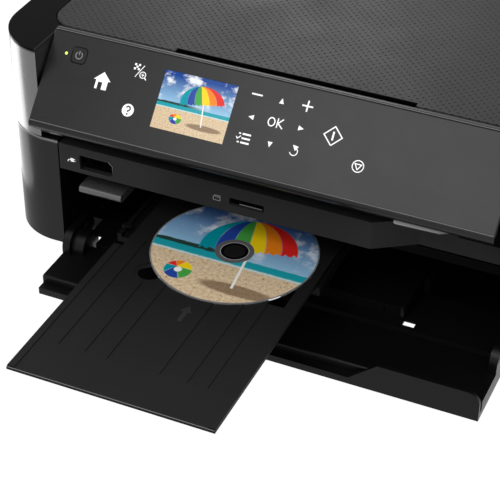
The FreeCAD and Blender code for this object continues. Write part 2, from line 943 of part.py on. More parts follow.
def side_cover(side, sign):
    """A front column with a large round corner that runs back as a side wall, open to the bay
    behind its cheek."""
    far = f"{sign} * body_half"
    near = f"{sign} * bay_half"
    outline = [(far, "front"), (near, "front"), (near, "pan_rear"), (far, "pan_rear")]
    shell = prism("xy", outline, "case_bottom", "case_top", [(0, "body_corner")], f"{side}_outer")
    soften(shell, lambda point: at_height("case_top")(point) and seen_rim(point), "case_edge",
           f"{side}_edge")
    far_in = f"{sign} * (body_half - wall)"
    near_in = f"{sign} * (bay_half + wall)"
    front_in = "front + wall"
    rear_in = "pan_rear - wall"
    hollow = prism("xy", [(far_in, front_in), (near_in, front_in), (near_in, rear_in), (far_in, rear_in)],
                   "case_bottom + wall", "case_top - wall", [(0, "body_corner - wall")], f"{side}_inner")
    x0, x1 = span(sign, "bay_half - past", "bay_half + wall + past")
    doorway = box(x0, x1, "front + cheek_depth", rear_in, "case_bottom + wall", "case_top - wall")
    pivot = rod("x", "pivot_radius + running_gap", x0, x1, "front + pivot_in", "cover_pivot_z")
    return node(cut(shell, hollow, doorway, pivot), f"{side}_side_cover")


for side, sign in SIDES:
    side_cover(side, sign)


def screw_spots():
    """The x and z of each rear screw."""
    return [(f"{sign} * screw_x", z) for _, sign in SIDES for z in ("screw_low", "screw_high")]


def rear_cover():
    """The back of the case with the tower that takes sheets from above; its floor is open under
    the tower, where the sheet feeder goes in."""
    outline = rectangle("-body_half", "body_half", "pan_rear", "rear")
    shell = prism("xy", outline, "case_bottom", "case_top", [(2, "rear_corner"), (3, "rear_corner")],
                  "rear_outer")
    soften(shell, at_height("case_top"), "case_edge", "rear_edge")
    hollow = box("wall - body_half", "body_half - wall", "pan_rear - past", "rear - wall",
                 "case_bottom + wall", "case_top - wall")
    tower = box("feeder_left", "feeder_right", "rear - feeder_depth", "rear", "tower_bottom", "feeder_top")
    slot = box("slot_left", "slot_right", "slot_y", "slot_y + slot_depth", "slot_floor",
               "feeder_top + past")
    throat = box("slot_left + throat_inset", "slot_right - throat_inset", "slot_y + throat_front",
                 "slot_y + throat_front + throat_depth", "tower_bottom - past", "slot_floor + past")
    slit = box("support_left - slit_gap", "support_right + slit_gap",
               "support_front - slit_gap", "support_rear + slit_gap", "tower_bottom - past",
               "slot_floor + past")
    back = box("feeder_left + tower_wall", "feeder_right - tower_wall",
               "slot_y + slot_depth + tower_wall", "rear - wall", "case_bottom - past",
               "feeder_top - tower_wall")
    ports = [
        box("inlet_x", "inlet_x + inlet_width", "rear - wall - past", "rear + past", "inlet_z",
            "inlet_z + inlet_height"),
        box("link_port_x", "link_port_x + link_port_width", "rear - wall - past", "rear + past",
            "link_port_z", "link_port_z + link_port_height"),
    ]
    holes = [rod("y", "screw_shank + running_gap", "rear - wall - past", "rear + past", x, z)
             for x, z in screw_spots()]
    sinks = [rod("y", "screw_head + fit_gap", "rear - screw_sink", "rear + past", x, z)
             for x, z in screw_spots()]
    body = fuse(cut(shell, hollow), tower)
    return node(cut(body, slot, throat, slit, back, *ports, *holes, *sinks), "rear_cover")


rear_cover()
screws = [fuse(rod("y", "screw_head", "screw_seat", "screw_seat + screw_head_thick", x, z),
               rod("y", "screw_shank", "screw_seat - screw_length", "screw_seat", x, z))
          for x, z in screw_spots()]
group(screws, "rear_cover_screws")

node(box("support_left", "support_right", "support_front", "support_rear", "support_bottom",
         "support_top"), "paper_support")
node(box("guide_x", "guide_x + guide_thin", "slot_y + slide_gap", "support_front - slide_gap",
         "slot_floor + fit_gap", "slot_floor + fit_gap + guide_height"), "edge_guide")


def mains_inlet():
    """A figure-of-eight inlet with its two contact pins."""
    gap = "2 * fit_gap"
    front = "(rear - inlet_deep)"
    face = "(rear - port_sink)"
    block = box(f"inlet_x + {gap}", f"inlet_x + inlet_width - {gap}", front, face, f"inlet_z + {gap}",
                f"inlet_z + inlet_height - {gap}")
    centre_x = "(inlet_x + inlet_width / 2)"
    centre_z = "(inlet_z + inlet_height / 2)"
    floor = "rear - port_sink - inlet_pocket"
    lobes = [rod("y", "inlet_lobe", floor, "rear + past", f"{centre_x} + {s} * inlet_pitch / 2", centre_z)
             for s in (-1, 1)]
    bridge = box(f"{centre_x} - inlet_pitch / 2", f"{centre_x} + inlet_pitch / 2", floor, "rear + past",
                 f"{centre_z} - inlet_lobe + inlet_waist", f"{centre_z} + inlet_lobe - inlet_waist")
    pins = [rod("y", "inlet_pin", f"{floor} - past", "rear - inlet_pin_sink",
                f"{centre_x} + {s} * inlet_pitch / 2", centre_z)
            for s in (-1, 1)]
    return node(fuse(cut(block, *lobes, bridge), *pins), "mains_inlet")


def link_socket():
    """The square data socket at the back."""
    x0, x1 = "(link_port_x + fit_gap)", "(link_port_x + link_port_width - fit_gap)"
    z0, z1 = "(link_port_z + fit_gap)", "(link_port_z + link_port_height - fit_gap)"
    block = box(x0, x1, "rear - link_deep", "rear - port_sink", z0, z1)
    pocket = box(f"{x0} + link_wall", f"{x1} - link_wall", "rear - link_deep + link_back", "rear + past",
                 f"{z0} + link_wall", f"{z1} - link_wall")
    middle = "(link_port_z + link_port_height / 2)"
    tongue = box(f"{x0} + link_side", f"{x1} - link_side", "rear - link_deep + link_back - past",
                 "rear - link_sink", f"{middle} - link_tongue", f"{middle} + link_tongue")
    return node(fuse(cut(block, pocket), tongue), "data_socket")


mains_inlet()
link_socket()


# ---- Fascia with its two ports ----
def fascia_plan(inset, bend, rear):
    """The fascia seen from above: set in from its faces, with its bend and its rear edge."""
    front = f"front + {inset}"
    shelf = f"front + fascia_recess + {inset}"
    return [(f"fascia_left + {inset}", front), (bend, front), (f"{bend} + fascia_slant", shelf),
            (f"fascia_right - {inset}", shelf), (f"fascia_right - {inset}", rear),
            (f"fascia_left + {inset}", rear)]


def front_fascia():
    """The strip over the paper exit, stepped back at its right."""
    back = "front + fascia_depth"
    outer = prism("xy", fascia_plan("0", "fascia_bend", back), "fascia_bottom", "fascia_top",
                  [(1, "fascia_bend_round")], "fascia_outer")
    for level in ("fascia_bottom", "fascia_top"):
        soften(outer, at_height(level), "fascia_edge", "fascia_edges")
    inner = prism("xy", fascia_plan("wall", "fascia_bend - bend_shift", f"{back} + past"), "fascia_floor",
                  "fascia_top - wall", (), "fascia_inner")
    right = "usb_left + usb_width"
    top = "usb_bottom + usb_height"
    port = prism("xz", [("usb_left", "usb_bottom"), (f"{right} - usb_clip", "usb_bottom"),
                        (right, "usb_bottom + usb_clip"), (right, f"{top} - usb_clip"),
                        (f"{right} - usb_clip", top), ("usb_left", top)],
                 "front - past", "front + wall + past", (), "usb_opening")
    slot = box("card_left", "card_left + card_width", "front - past", "front + wall + past", "card_bottom",
               "card_bottom + card_height")
    return node(cut(outer, inner, port, slot), "front_fascia")


front_fascia()


def usb_socket():
    """The metal socket for a memory stick, set back in its opening."""
    x0, x1 = "(usb_left + socket_inset)", "(usb_left + usb_width - socket_inset)"
    front, back = "(front + port_depth)", "(front + socket_back)"
    block = box(x0, x1, front, back, "fascia_floor", "usb_bottom + usb_height - past")
    middle_x = "(usb_left + usb_width / 2)"
    middle_z = "(usb_bottom + usb_height / 2 - mouth_drop)"
    mouth = box(f"{middle_x} - socket_slot_width / 2", f"{middle_x} + socket_slot_width / 2",
                f"{front} - past", f"{back} - socket_end", f"{middle_z} - socket_slot_height / 2",
                f"{middle_z} + socket_slot_height / 2")
    tongue = box(f"{middle_x} - socket_slot_width / 2 + past", f"{middle_x} + socket_slot_width / 2 - past",
                 f"{front} + past", f"{back} - socket_end + past", f"{middle_z} + contact_rise",
                 f"{middle_z} + contact_rise + contact_thick")
    return node(fuse(cut(block, mouth), tongue), "usb_socket")


def card_reader():
    """The reader behind the card slot, with one wide and one narrow way in."""
    front, back = "(front + wall + fit_gap)", "(front + reader_back)"
    block = box("card_left - reader_margin", "card_left + card_width + reader_margin", front, back,
                "fascia_floor", "card_bottom + card_height + reader_margin")
    wide = box("card_left + reader_side", "card_left + card_width - reader_side", f"{front} - past",
               f"{back} - reader_end", "card_bottom + reader_wide_rise",
               "card_bottom + reader_wide_rise + reader_slot")
    narrow = box("card_left + reader_step", "card_left + card_width - reader_step", f"{front} - past",
                 f"{back} - 2 * reader_end", "card_bottom + reader_low",
                 "card_bottom + reader_low + reader_thin")
    return node(cut(block, wide, narrow), "card_reader")


usb_socket()
card_reader()


# ---- Front cover and its pivots ----
def front_cover():
    """The cover folded down in front: a plate with a stepped lip, a taller lip at its right and
    two round-topped arms that reach back to the pivots."""
    ledge = "cover_face + cover_ledge"
    rear = "front + cover_rear"
    side_view = [("cover_face", "cover_bottom"), (rear, "cover_bottom"), (rear, "cover_plate_top"),
                 (ledge, "cover_plate_top"), (ledge, "cover_lip_top"), ("cover_face", "cover_lip_top")]
    plate = prism("yz", side_view, "-cover_half", "cover_half", [(3, "cover_edge_round")], "cover_plate")
    front_view = [("tall_lip_start - lip_overlap", "cover_bottom"), ("cover_half", "cover_bottom"),
                  ("cover_half", "tall_lip_top"),
                  ("tall_lip_start + tall_lip_slope", "tall_lip_top"), ("tall_lip_start", "cover_lip_top"),
                  ("tall_lip_start - lip_overlap", "cover_lip_top")]
    lip = prism("xz", front_view, "cover_face", "cover_face + lip_thick", [(2, "tall_lip_corner")],
                "tall_lip")
    arm_view = rectangle("front - arm_front", "front + arm_rear", "arm_bottom", "arm_top")
    arms = []
    for side, sign in SIDES:
        x0, x1 = span(sign, "cover_half - arm_thick", "cover_half")
        arms.append(prism("yz", arm_view, x0, x1, [(1, "arm_rear_round"), (2, "arm_round"),
                                                   (3, "arm_round")],
                          f"cover_arm_{side}"))
    inner = "arm_thick - cover_half"
    boss = cut(rod("x", "boss_radius", f"{inner} - past", f"{inner} + boss_width", "front + boss_in",
                   "boss_z"),
               rod("x", "pivot_head + boss_gap", inner, f"{inner} + boss_width + past", "pivot_y",
                   "cover_pivot_z"))
    bore = rod("x", "pivot_radius + running_gap", "-cover_half - past", "cover_half + past", "pivot_y",
               "cover_pivot_z")
    return node(cut(fuse(plate, lip, boss, *arms), bore), "front_cover")


front_cover()
pivots = []
for side, sign in SIDES:
    x0, x1 = span(sign, "cover_half - arm_thick - fit_gap", "bay_half + wall")
    h0, h1 = span(sign, "cover_half - arm_thick - fit_gap - pivot_head_thick",
                  "cover_half - arm_thick - fit_gap")
    pivots.append(fuse(rod("x", "pivot_radius", x0, x1, "pivot_y", "cover_pivot_z"),
                       rod("x", "pivot_head", h0, h1, "pivot_y", "cover_pivot_z")))
group(pivots, "cover_pivot_pins")


# ---- Paper output tray and its extension ----
def paper_tray():
    """The telescoping tray that catches sheets, pushed in."""
    outline = rectangle("stacker_left", "stacker_right", "stack_face", "front + stacker_rear")
    slab = prism("xy", outline, "stack_bottom", "stack_top", [(0, "stacker_round"), (1, "stacker_round")],
                 "stacker")
    room = box("stacker_left + stacker_cheek", "stacker_right - stacker_cheek", "stack_face - past",
               "front + stacker_rear - stacker_cheek", "stack_bottom + stacker_skin",
               "stack_top - stacker_top")
    return node(cut(slab, room), "paper_tray")


paper_tray()
node(box("stacker_left + stacker_cheek + extension_inset",
         "stacker_right - stacker_cheek - extension_inset",
         "stack_face + extension_setback", "stack_face + extension_length",
         "stack_bottom + stacker_skin + extension_gap",
         "stack_bottom + stacker_skin + extension_gap + extension_height"),
     "tray_extension")


# ---- Disc tray, disc, guide and lever ----
def disc_tray():
    """The flat tray that carries a disc through the printer, narrower behind its shoulder."""
    rear = "front + tray_rear"
    step = "front + tray_step_y"
    outline = [("tray_left", "tray_front"), ("tray_right", "tray_front"), ("tray_right", rear),
               ("tray_left + tray_step", rear), ("tray_left + tray_step", step), ("tray_left", step)]
    slab = prism("xy", outline, "tray_bottom", "tray_top", (), "tray_slab")
    lip = value("tray_front")
    soften(slab, lambda point: at_height("tray_top")(point) and abs(point.y - lip) < NEAR, "tray_edge")
    rim_y = "tray_front + rim_setback"
    rims = [box("tray_left", "tray_left + rim_width", rim_y, step, "tray_top", "tray_top + rim_high"),
            box("tray_right - rim_width", "tray_right", rim_y, rear, "tray_top", "tray_top + rim_high")]
    seat = rod("z", "disc_radius + seat_gap", "disc_floor", "tray_top + past", "disc_x", "disc_y")
    boss = rod("z", "hub_boss", "disc_floor - hub_sink", "disc_floor + disc_thick", "disc_x", "disc_y")
    hole = rod("z", "finger_hole", "tray_bottom - past", "tray_top + past", "finger_x", "finger_y")
    ring = rod("z", "finger_hole + finger_ring", "tray_top - finger_ring_deep", "tray_top + past",
               "finger_x", "finger_y")
    thumb_y = "disc_y - thumb_fore"
    thumb = box("thumb_left", "thumb_right", thumb_y, f"{thumb_y} + thumb_length", "tray_bottom - past",
                "tray_top + past")
    band_y = "tray_front + band_setback"
    bands = [prism("xz", [(x, "tray_top - band_deep"), (f"{x} + band_width", "tray_top"),
                          (f"{x} + band_width", "tray_top + past"), (x, "tray_top + past")],
                   band_y, f"{band_y} + band_length", (), "tray_band")
             for x in (f"disc_x + band_{n}" for n in range(1, 7))]
    nubs = [rod("z", "nub_radius", "disc_floor", "tray_top + nub_high", f"disc_x + nub_reach * cos({turn})",
                f"disc_y + nub_reach * sin({turn})") for turn in ("nub_turn_left", "nub_turn_right")]
    body = cut(fuse(slab, *rims), seat, hole, ring, thumb, *bands)
    return node(fuse(body, boss, *nubs), "disc_tray")


disc_tray()
node(cut(rod("z", "disc_radius", "disc_floor", "disc_floor + disc_thick", "disc_x", "disc_y"),
         rod("z", "disc_hole", "disc_floor - past", "disc_floor + disc_thick + past", "disc_x", "disc_y")),
     "disc")


def disc_guide():
    """The bed that the disc tray slides on, with a low rail each side and an alignment tab."""
    front, rear = "front + guide_front", "front + guide_rear"
    left = "(tray_left - guide_side_gap - guide_rail)"
    right = "(tray_right + guide_side_gap + guide_rail)"
    bed = box(left, right, front, rear, "guide_top - guide_thick", "guide_top")
    rails = [box(left, f"{left} + guide_rail", front, rear, "guide_top - past", "guide_top + guide_lip"),
             box(f"{right} - guide_rail", right, front, rear, "guide_top - past", "guide_top + guide_lip")]
    tab_y = "front + tab_back"
    post = box(left, f"{left} + guide_rail", tab_y, f"{tab_y} + tab_deep", "guide_top",
               "tab_bottom + tab_thick")
    tab = box(left, f"{left} + tab_width", tab_y, f"{tab_y} + tab_deep", "tab_bottom",
              "tab_bottom + tab_thick")
    return node(fuse(bed, *rails, post, tab), "disc_guide")


disc_guide()

lever_view = rectangle("front", "lever_y", "lever_z - lever_thick / 2", "lever_z + lever_thick / 2")
lever_slab = prism("yz", lever_view, "lever_left", "lever_left + lever_width",
                   [(0, "lever_nose"), (3, "lever_nose")], "lever_slab")
lever_boss = rod("x", "lever_boss", "lever_left", "lever_left + lever_width", "lever_y", "lever_z")
lever_bore = rod("x", "lever_pin + running_gap", "lever_left - past", "lever_left + lever_width + past",
                 "lever_y", "lever_z")
node(cut(fuse(lever_slab, lever_boss), lever_bore), "disc_lever")
node(rod("x", "lever_pin", "-chassis_x - chassis_thick", "lever_left + lever_width + lever_pin_tail",
         "lever_y", "lever_z"), "lever_pin")


# ---- Control panel ----
# Its pieces are drawn flat with the hinge line at the origin, +X along the panel, +Y up its slope
# and +Z out of its face; "tilt" then puts them in place.


def tilt(obj):
    """Hold a panel piece, drawn flat, at the panel's tilt about the hinge line."""
    held = DOC.addObject("Part::Compound", "Tilted")
    held.Links = [obj]
    held.Placement = FreeCAD.Placement(FreeCAD.Vector(), FreeCAD.Rotation(FreeCAD.Vector(1, 0, 0), 1))
    bind(held, "Placement.Rotation.Angle", "panel_tilt")
    move_to(held, 0, "panel_y", "panel_hinge_z")
    return held


def power_outline(grow):
    """The power key's square, larger by grow on every side."""
    half = f"(power_size / 2 + {grow})"
    return rectangle(f"power_x - {half}", f"power_x + {half}", f"-power_y - {half}", f"{half} - power_y")


def panel_front():
    """The panel's glossy skin, with openings for the screen, the power key and the light."""
    skin = prism("xy", rectangle("panel_left", "panel_right", "-panel_lower", "panel_upper"),
                 "panel_face - panel_skin", "panel_face", (), "panel_skin_plate")
    soften(skin, at_height("panel_face"), "panel_edge")
    window = box("screen_left - screen_gap", "screen_left + screen_width + screen_gap",
                 "-screen_top - screen_height - screen_gap", "screen_gap - screen_top",
                 "panel_face - panel_skin - past", "panel_face + past")
    key = prism("xy", power_outline("key_gap"), "panel_face - panel_skin - past", "panel_face + past",
                [(n, "power_round + key_gap") for n in range(4)], "power_opening")
    light = rod("z", "led_radius + running_gap", "panel_face - panel_skin - past", "panel_face + past",
                "led_x", "-led_y")
    return node(tilt(cut(skin, window, key, light)), "control_panel_front")


def panel_back():
    """The panel's back shell: hinge bosses at its upper corners, a lip that shows below the skin
    and a blind slot for the release bar's stem."""
    base = "(panel_face - panel_thick)"
    x0, x1 = "(panel_left + panel_inset)", "(panel_right - panel_inset)"
    y0, y1 = "(panel_inset - panel_lower)", "(panel_upper - panel_inset)"
    shell = prism("xy", rectangle(x0, x1, y0, y1), base, "panel_under",
                  [(0, "panel_round"), (1, "panel_round")], "panel_shell")
    lip = prism("yz", rectangle("-panel_lower - lip_reach", f"{y0} + wall", base, "panel_under - lip_drop"),
                x0, x1, [(3, "lip_edge")], "panel_lip")
    room = box(f"{x0} + wall", f"{x1} - wall", f"{y0} + wall", "-knuckle - past", f"{base} + wall",
               "panel_under + past")
    bosses = [rod("x", "knuckle", x0, f"{x0} + knuckle_length", "0", "0"),
              rod("x", "knuckle", f"{x1} - knuckle_length", x1, "0", "0")]
    trim = box("panel_left - past", "panel_right + past", "-panel_lower", "panel_upper + trim_reach",
               "panel_under", "panel_under + trim_reach")
    bore = rod("x", "hinge_pin + running_gap", "panel_left - past", "panel_right + past", "0", "0")
    slot = box("stem_left - key_gap", "stem_right + key_gap", "stem_low - key_gap",
               "stem_low + stem_length + bar_travel + key_gap", f"{base} - past", f"{base} + bar_well_deep")
    solid = cut(fuse(shell, lip, *bosses), room, trim, slot)
    return node(tilt(cut(solid, bore)), "control_panel_back")


def release_bar():
    """The grey bar under the panel's lip, cut back at its right end, with a stem into the panel."""
    low, high = "-bar_lower", "bar_length - bar_lower"
    outline = [("bar_left", low), ("bar_right - bar_tip", f"{low} + bar_taper"),
               ("bar_right", f"{low} + bar_tip_rise"), ("bar_right", high), ("bar_left", high)]
    bar = prism("xy", outline, "-bar_back", "bar_top", [(0, "bar_round")], "release")
    stem = box("stem_left", "stem_right", "stem_low", "stem_low + stem_length", "bar_top - past",
               "panel_face - panel_thick + bar_well_deep - key_gap")
    return node(tilt(fuse(bar, stem)), "panel_release_bar")


panel_front()
panel_back()
node(tilt(box("screen_left", "screen_left + screen_width", "-screen_top - screen_height", "-screen_top",
              "panel_floor", "panel_face - screen_sink")), "display_screen")
node(tilt(box("board_left", "board_right", "-board_lower", "-board_upper", "panel_floor",
              "panel_floor + board_thick")), "panel_board")
power_key = prism("xy", power_outline("0"), "panel_under - key_deep", "panel_face + power_proud",
                  [(n, "power_round") for n in range(4)], "power_key")
soften(power_key, at_height("panel_face + power_proud"), "key_edge")
node(tilt(power_key), "power_button")
node(tilt(rod("z", "led_radius", "panel_floor", "panel_face", "led_x", "-led_y")), "status_light")
release_bar()
panel_pins = fuse(rod("x", "hinge_pin", "panel_left - side_gap - pin_seat",
                      "panel_left + panel_inset + knuckle_length", "0", "0"),
                  rod("x", "hinge_pin", "panel_right - panel_inset - knuckle_length",
                      "panel_right + side_gap + pin_seat", "0", "0"))
node(tilt(panel_pins), "panel_hinge_pins")


# ---- Scanner housing, glass and scan unit ----
def recess_y(height):
    """Where the slope behind the closed panel stands at a height."""
    return (f"(panel_y + recess_gap * sin(panel_close) + (({height}) - panel_hinge_z"
            " + recess_gap * cos(panel_close)) / tan(panel_close))")


def housing_shell():
    """The housing's outer form: round front corners, a leaning back and the panel's recess."""
    outline = rectangle("-body_half", "body_half", "front", "housing_back")
    plan = prism("xy", outline, "seam_height", "housing_top",
                 [(0, "body_corner"), (1, "body_corner"), (2, "rear_corner"), (3, "rear_corner")],
                 "housing_plan")
    top_rear = "housing_back - housing_rear_slope"
    lean = prism("yz", [("housing_back", "seam_height"), ("housing_back + past", "seam_height"),
                        ("housing_back + past", "housing_top + past"), (top_rear, "housing_top + past"),
                        (top_rear, "housing_top")], "-body_half - past", "body_half + past", (), "lean")
    low, high = "seam_height - past", "housing_top + past"
    recess = prism("yz", [("front - past", low), (recess_y(low), low), (recess_y(high), high),
                          ("front - past", high)],
                   "panel_left - side_gap", "panel_right + side_gap", (), "panel_recess")
    notch = box("bar_left - bar_notch_gap", "bar_right + bar_notch_gap", "front - past",
                "front + bar_notch_deep", low, "seam_height + bar_notch_top")
    return cut(plan, lean, recess, notch)


def scanner_housing():
    """The upper housing that holds the scan unit under its glass and lifts on rear hinges."""
    hinge_web = "seam_height + web_top"
    knuckles = []
    for _, sign in SIDES:
        x0, x1 = span(sign, "chassis_x - hinge_side_gap - hinge_knuckle_width",
                      "chassis_x - hinge_side_gap")
        knuckles.append(rod("x", "hinge_knuckle", x0, x1, "hinge_y", "hinge_z"))
        knuckles.append(box(x0, x1, "housing_back - hinge_root", "hinge_y", "seam_height", hinge_web))
    cavity = box("cavity_wall - body_half", "body_half - cavity_wall", "front + cavity_front",
                 "lid_back", "seam_height + wall", "deck_height - deck_thick")
    half = "glass_width / 2"
    window = box(f"glass_ledge - {half}", f"{half} - glass_ledge", "glass_y + glass_ledge",
                 "glass_y + glass_depth - glass_ledge", "deck_height - deck_thick - past",
                 "deck_height + past")
    rebate = box(f"-{half} - glass_gap", f"{half} + glass_gap", "glass_y - glass_gap",
                 "glass_y + glass_depth + glass_gap",
                 "deck_height - glass_thick", "deck_height + past")
    lid_well = prism("xy", rectangle("-lid_half - lid_gap", "lid_half + lid_gap",
                                     "front + lid_front - lid_gap", "lid_back + lid_gap"),
                     "deck_height", "housing_top + past",
                     [(0, "lid_corner + lid_gap"), (1, "lid_corner + lid_gap")], "lid_well")
    slots = [box(f"{sign} * lid_knuckle_x - lid_knuckle_width / 2 - knuckle_gap",
                 f"{sign} * lid_knuckle_x + lid_knuckle_width / 2 + knuckle_gap", "lid_back",
                 "lid_hinge_y + lid_knuckle + knuckle_room", "deck_height", "housing_top + past")
             for _, sign in SIDES]
    lid_bore = [rod("x", "lid_pin + running_gap",
                    f"{sign} * lid_knuckle_x - lid_knuckle_width / 2 - lid_pin_seat",
                    f"{sign} * lid_knuckle_x + lid_knuckle_width / 2 + lid_pin_seat", "lid_hinge_y",
                    "lid_pin_z")
                for _, sign in SIDES]
    panel_bore = rod("x", "hinge_pin + running_gap", "panel_left - side_gap - pin_seat - pin_end_gap",
                     "panel_right + side_gap + pin_seat + pin_end_gap", "panel_y", "panel_hinge_z")
    ears = []
    for _, sign in SIDES:
        x0, x1 = span(sign, "chassis_x - ear_gap", "chassis_x + chassis_thick + ear_gap")
        ears.append(box(x0, x1, "housing_back - ear_depth", "housing_back + trim_reach",
                        "seam_height - trim_reach", "seam_height + ear_room"))
    hinge_bore = rod("x", "hinge_radius + running_gap", "-chassis_x", "chassis_x", "hinge_y", "hinge_z")
    rests = [rod("z", "rest_radius", "case_top", "seam_height + past", f"{sign} * rest_x", "front + rest_y")
             for _, sign in SIDES]
    body = cut(fuse(housing_shell(), *knuckles, *rests), cavity, window, rebate, lid_well, *slots)
    return node(cut(body, panel_bore, hinge_bore, *lid_bore, *ears), "scanner_housing")


scanner_housing()
node(box("-glass_width / 2", "glass_width / 2", "glass_y", "glass_y + glass_depth",
         "deck_height - glass_thick", "deck_height - glass_sink"), "scanner_glass")
group([rod("x", "lid_pin", f"{sign} * lid_knuckle_x - lid_knuckle_width / 2 - lid_pin_seat",
           f"{sign} * lid_knuckle_x + lid_knuckle_width / 2 + lid_pin_seat", "lid_hinge_y", "lid_pin_z")
       for _, sign in SIDES], "lid_hinge_pins")
hinge_pins = []
for side, sign in SIDES:
    x0, x1 = span(sign, "chassis_x - hinge_side_gap - hinge_pin_tail - hinge_knuckle_width",
                  "chassis_x + chassis_thick")
    hinge_pins.append(rod("x", "hinge_radius", x0, x1, "hinge_y", "hinge_z"))
group(hinge_pins, "scanner_hinge_pins")

node(rod("x", "scan_rod_radius", "cavity_wall - body_half", "body_half - cavity_wall", "scan_rod_y",
         "scan_rod_z"), "scan_rod")


def scan_carriage():
    """The sensor bar that travels under the glass on its rod."""
    top = "(deck_height - deck_thick - scan_drop)"
    bar = box("scan_start", "scan_start + scan_bar_width", "glass_y + scan_margin",
              "glass_y + glass_depth - scan_margin", f"{top} - scan_bar_height + scan_boss", top)
    boss = box("scan_start", "scan_start + scan_bar_width", "scan_rod_y - scan_boss",
               "scan_rod_y + scan_boss", "scan_rod_z - scan_boss", f"{top} - past")
    bore = rod("x", "scan_rod_radius + running_gap", "scan_start - past",
               "scan_start + scan_bar_width + past", "scan_rod_y", "scan_rod_z")
    window = box("scan_start + scan_slit_inset", "scan_start + scan_bar_width - scan_slit_inset",
                 "glass_y + scan_margin + scan_slit_end",
                 "glass_y + glass_depth - scan_margin - scan_slit_end", f"{top} - scan_slit_deep",
                 f"{top} + past")
    return node(cut(fuse(bar, boss), bore, window), "scan_carriage")


scan_carriage()


# ---- Document lid ----
LID_OUTLINE = rectangle("-lid_half", "lid_half", "front + lid_front", "lid_back")


def lid_room(bottom, top):
    """The space inside the lid's rim between two heights, kept clear of the finger notch."""
    half = "(lid_half - lid_wall)"
    rear = "lid_back - lid_wall"
    outline = rectangle(f"-{half}", half, "front + lid_front + lid_wall", rear)
    rim = prism("xy", outline, bottom, top, [(0, "lid_corner - lid_wall"), (1, "lid_corner - lid_wall")],
                "lid_room")
    clear = box(f"-{half}", half, "front + lid_front + notch_deep + lid_wall", rear, bottom, top)
    return common(clear, rim)


def document_lid():
    """The textured lid: a shell with a finger notch in front and two knuckles behind."""
    shell = prism("xy", LID_OUTLINE, "lid_under", "lid_top",
                  [(0, "lid_corner"), (1, "lid_corner"), (2, "lid_round_rear"), (3, "lid_round_rear")],
                  "lid_shell")
    soften(shell, at_height("lid_top"), "lid_edge")
    knuckles = []
    for _, sign in SIDES:
        x0 = f"{sign} * lid_knuckle_x - lid_knuckle_width / 2"
        x1 = f"{sign} * lid_knuckle_x + lid_knuckle_width / 2"
        knuckles.append(rod("x", "lid_knuckle", x0, x1, "lid_hinge_y", "lid_pin_z"))
        knuckles.append(box(x0, x1, "lid_back - past", "lid_hinge_y", "lid_under", "lid_top"))
    rests = [rod("z", "lid_rest", "deck_height", "lid_under + past", f"{sign} * lid_rest_x",
                 "front + lid_rest_y")
             for _, sign in SIDES]
    notch = box("notch_from", "notch_to", "front + lid_front - past", "front + lid_front + notch_deep",
                "lid_under + notch_floor", "lid_top + past")
    bore = rod("x", "lid_pin + running_gap", "-lid_half", "lid_half", "lid_hinge_y", "lid_pin_z")
    shaped = cut(shell, lid_room("lid_under - past", "lid_top - lid_skin"), notch)
    return node(cut(fuse(shaped, *knuckles, *rests), bore), "document_lid")


document_lid()
node(lid_room("lid_under", "lid_under + inner_plate"), "lid_inner_plate")
node(box("lid_pad_margin - glass_width / 2", "glass_width / 2 - lid_pad_margin", "glass_y + lid_pad_margin",
         "glass_y + glass_depth - lid_pad_margin",
         "lid_under - pad_thick", "lid_under"), "lid_pad")


def chassis_plate(side, sign):
    """One side plate: an ear behind for the scanner's hinge, an arm in front for the fascia."""
    x0, x1 = span(sign, "chassis_x", "chassis_x + chassis_thick")
    front = "front + chassis_front"
    ear = "hinge_y - ear_depth"
    outline = [(front, "pan_top"), ("chassis_rear", "pan_top"), ("chassis_rear", "ear_top"),
               (ear, "ear_top"), (ear, "chassis_top"), ("front + arm_reach", "chassis_top"),
               ("front + arm_reach", "fascia_floor"), (front, "fascia_floor")]
    return prism("yz", outline, x0, x1, (), f"chassis_{side}")


def chassis():
    """Two side plates joined by the crossbar under the disc guide and by the rear rail."""
    crossbar = box("-chassis_x", "chassis_x", "front + crossbar_y", "front + crossbar_y + crossbar_depth",
                   "guide_top - guide_thick - crossbar_height", "guide_top - guide_thick")
    rail = box("-chassis_x", "chassis_x", "rail_y", "rail_y + rail_thick", "rail_bottom", "rail_top")
    flange = box("-chassis_x", "chassis_x", "rail_y - rail_flange", "rail_y + rail_thick",
                 "rail_top - rail_thick", "rail_top")
    stud = rod("y", "idler_stud", "belt_y - belt_width / 2", "rail_y + past", "-belt_end", "belt_z")
    plates = [chassis_plate(side, sign) for side, sign in SIDES]
    seats = (("roller_core", "exit_y", "roller_z"), ("roller_core", "feed_y", "roller_z"),
             ("shaft_radius", "shaft_y", "shaft_z"), ("hinge_radius", "hinge_y", "hinge_z"))
    bores = [rod("x", f"{radius} + running_gap", "-chassis_x - trim_reach", "chassis_x + trim_reach", y, z)
             for radius, y, z in seats]
    lever_hole = rod("x", "lever_pin + running_gap", "-chassis_x - trim_reach", "past - chassis_x",
                     "lever_y", "lever_z")
    feed_hole = rod("x", "motor_shaft + running_gap", "-chassis_x - trim_reach", "past - chassis_x",
                    "feed_motor_y", "feed_motor_z")
    rail_hole = rod("y", "motor_shaft + running_gap", "rail_y - past", "rail_y + rail_thick + past",
                    "belt_end", "belt_z")
    frame = fuse(*plates, crossbar, rail, flange, stud)
    return node(cut(frame, *bores, lever_hole, feed_hole, rail_hole), "chassis")


chassis()
node(rod("x", "shaft_radius", "-chassis_x - chassis_thick", "chassis_x + chassis_thick", "shaft_y",
         "shaft_z"),
     "carriage_shaft")


# ---- Ink carriage, head, tanks, belt and motor ----
def tank_spot(index):
    """The left face of one tank."""
    return f"(carriage_left + tank_start + {index} * tank_pitch)"


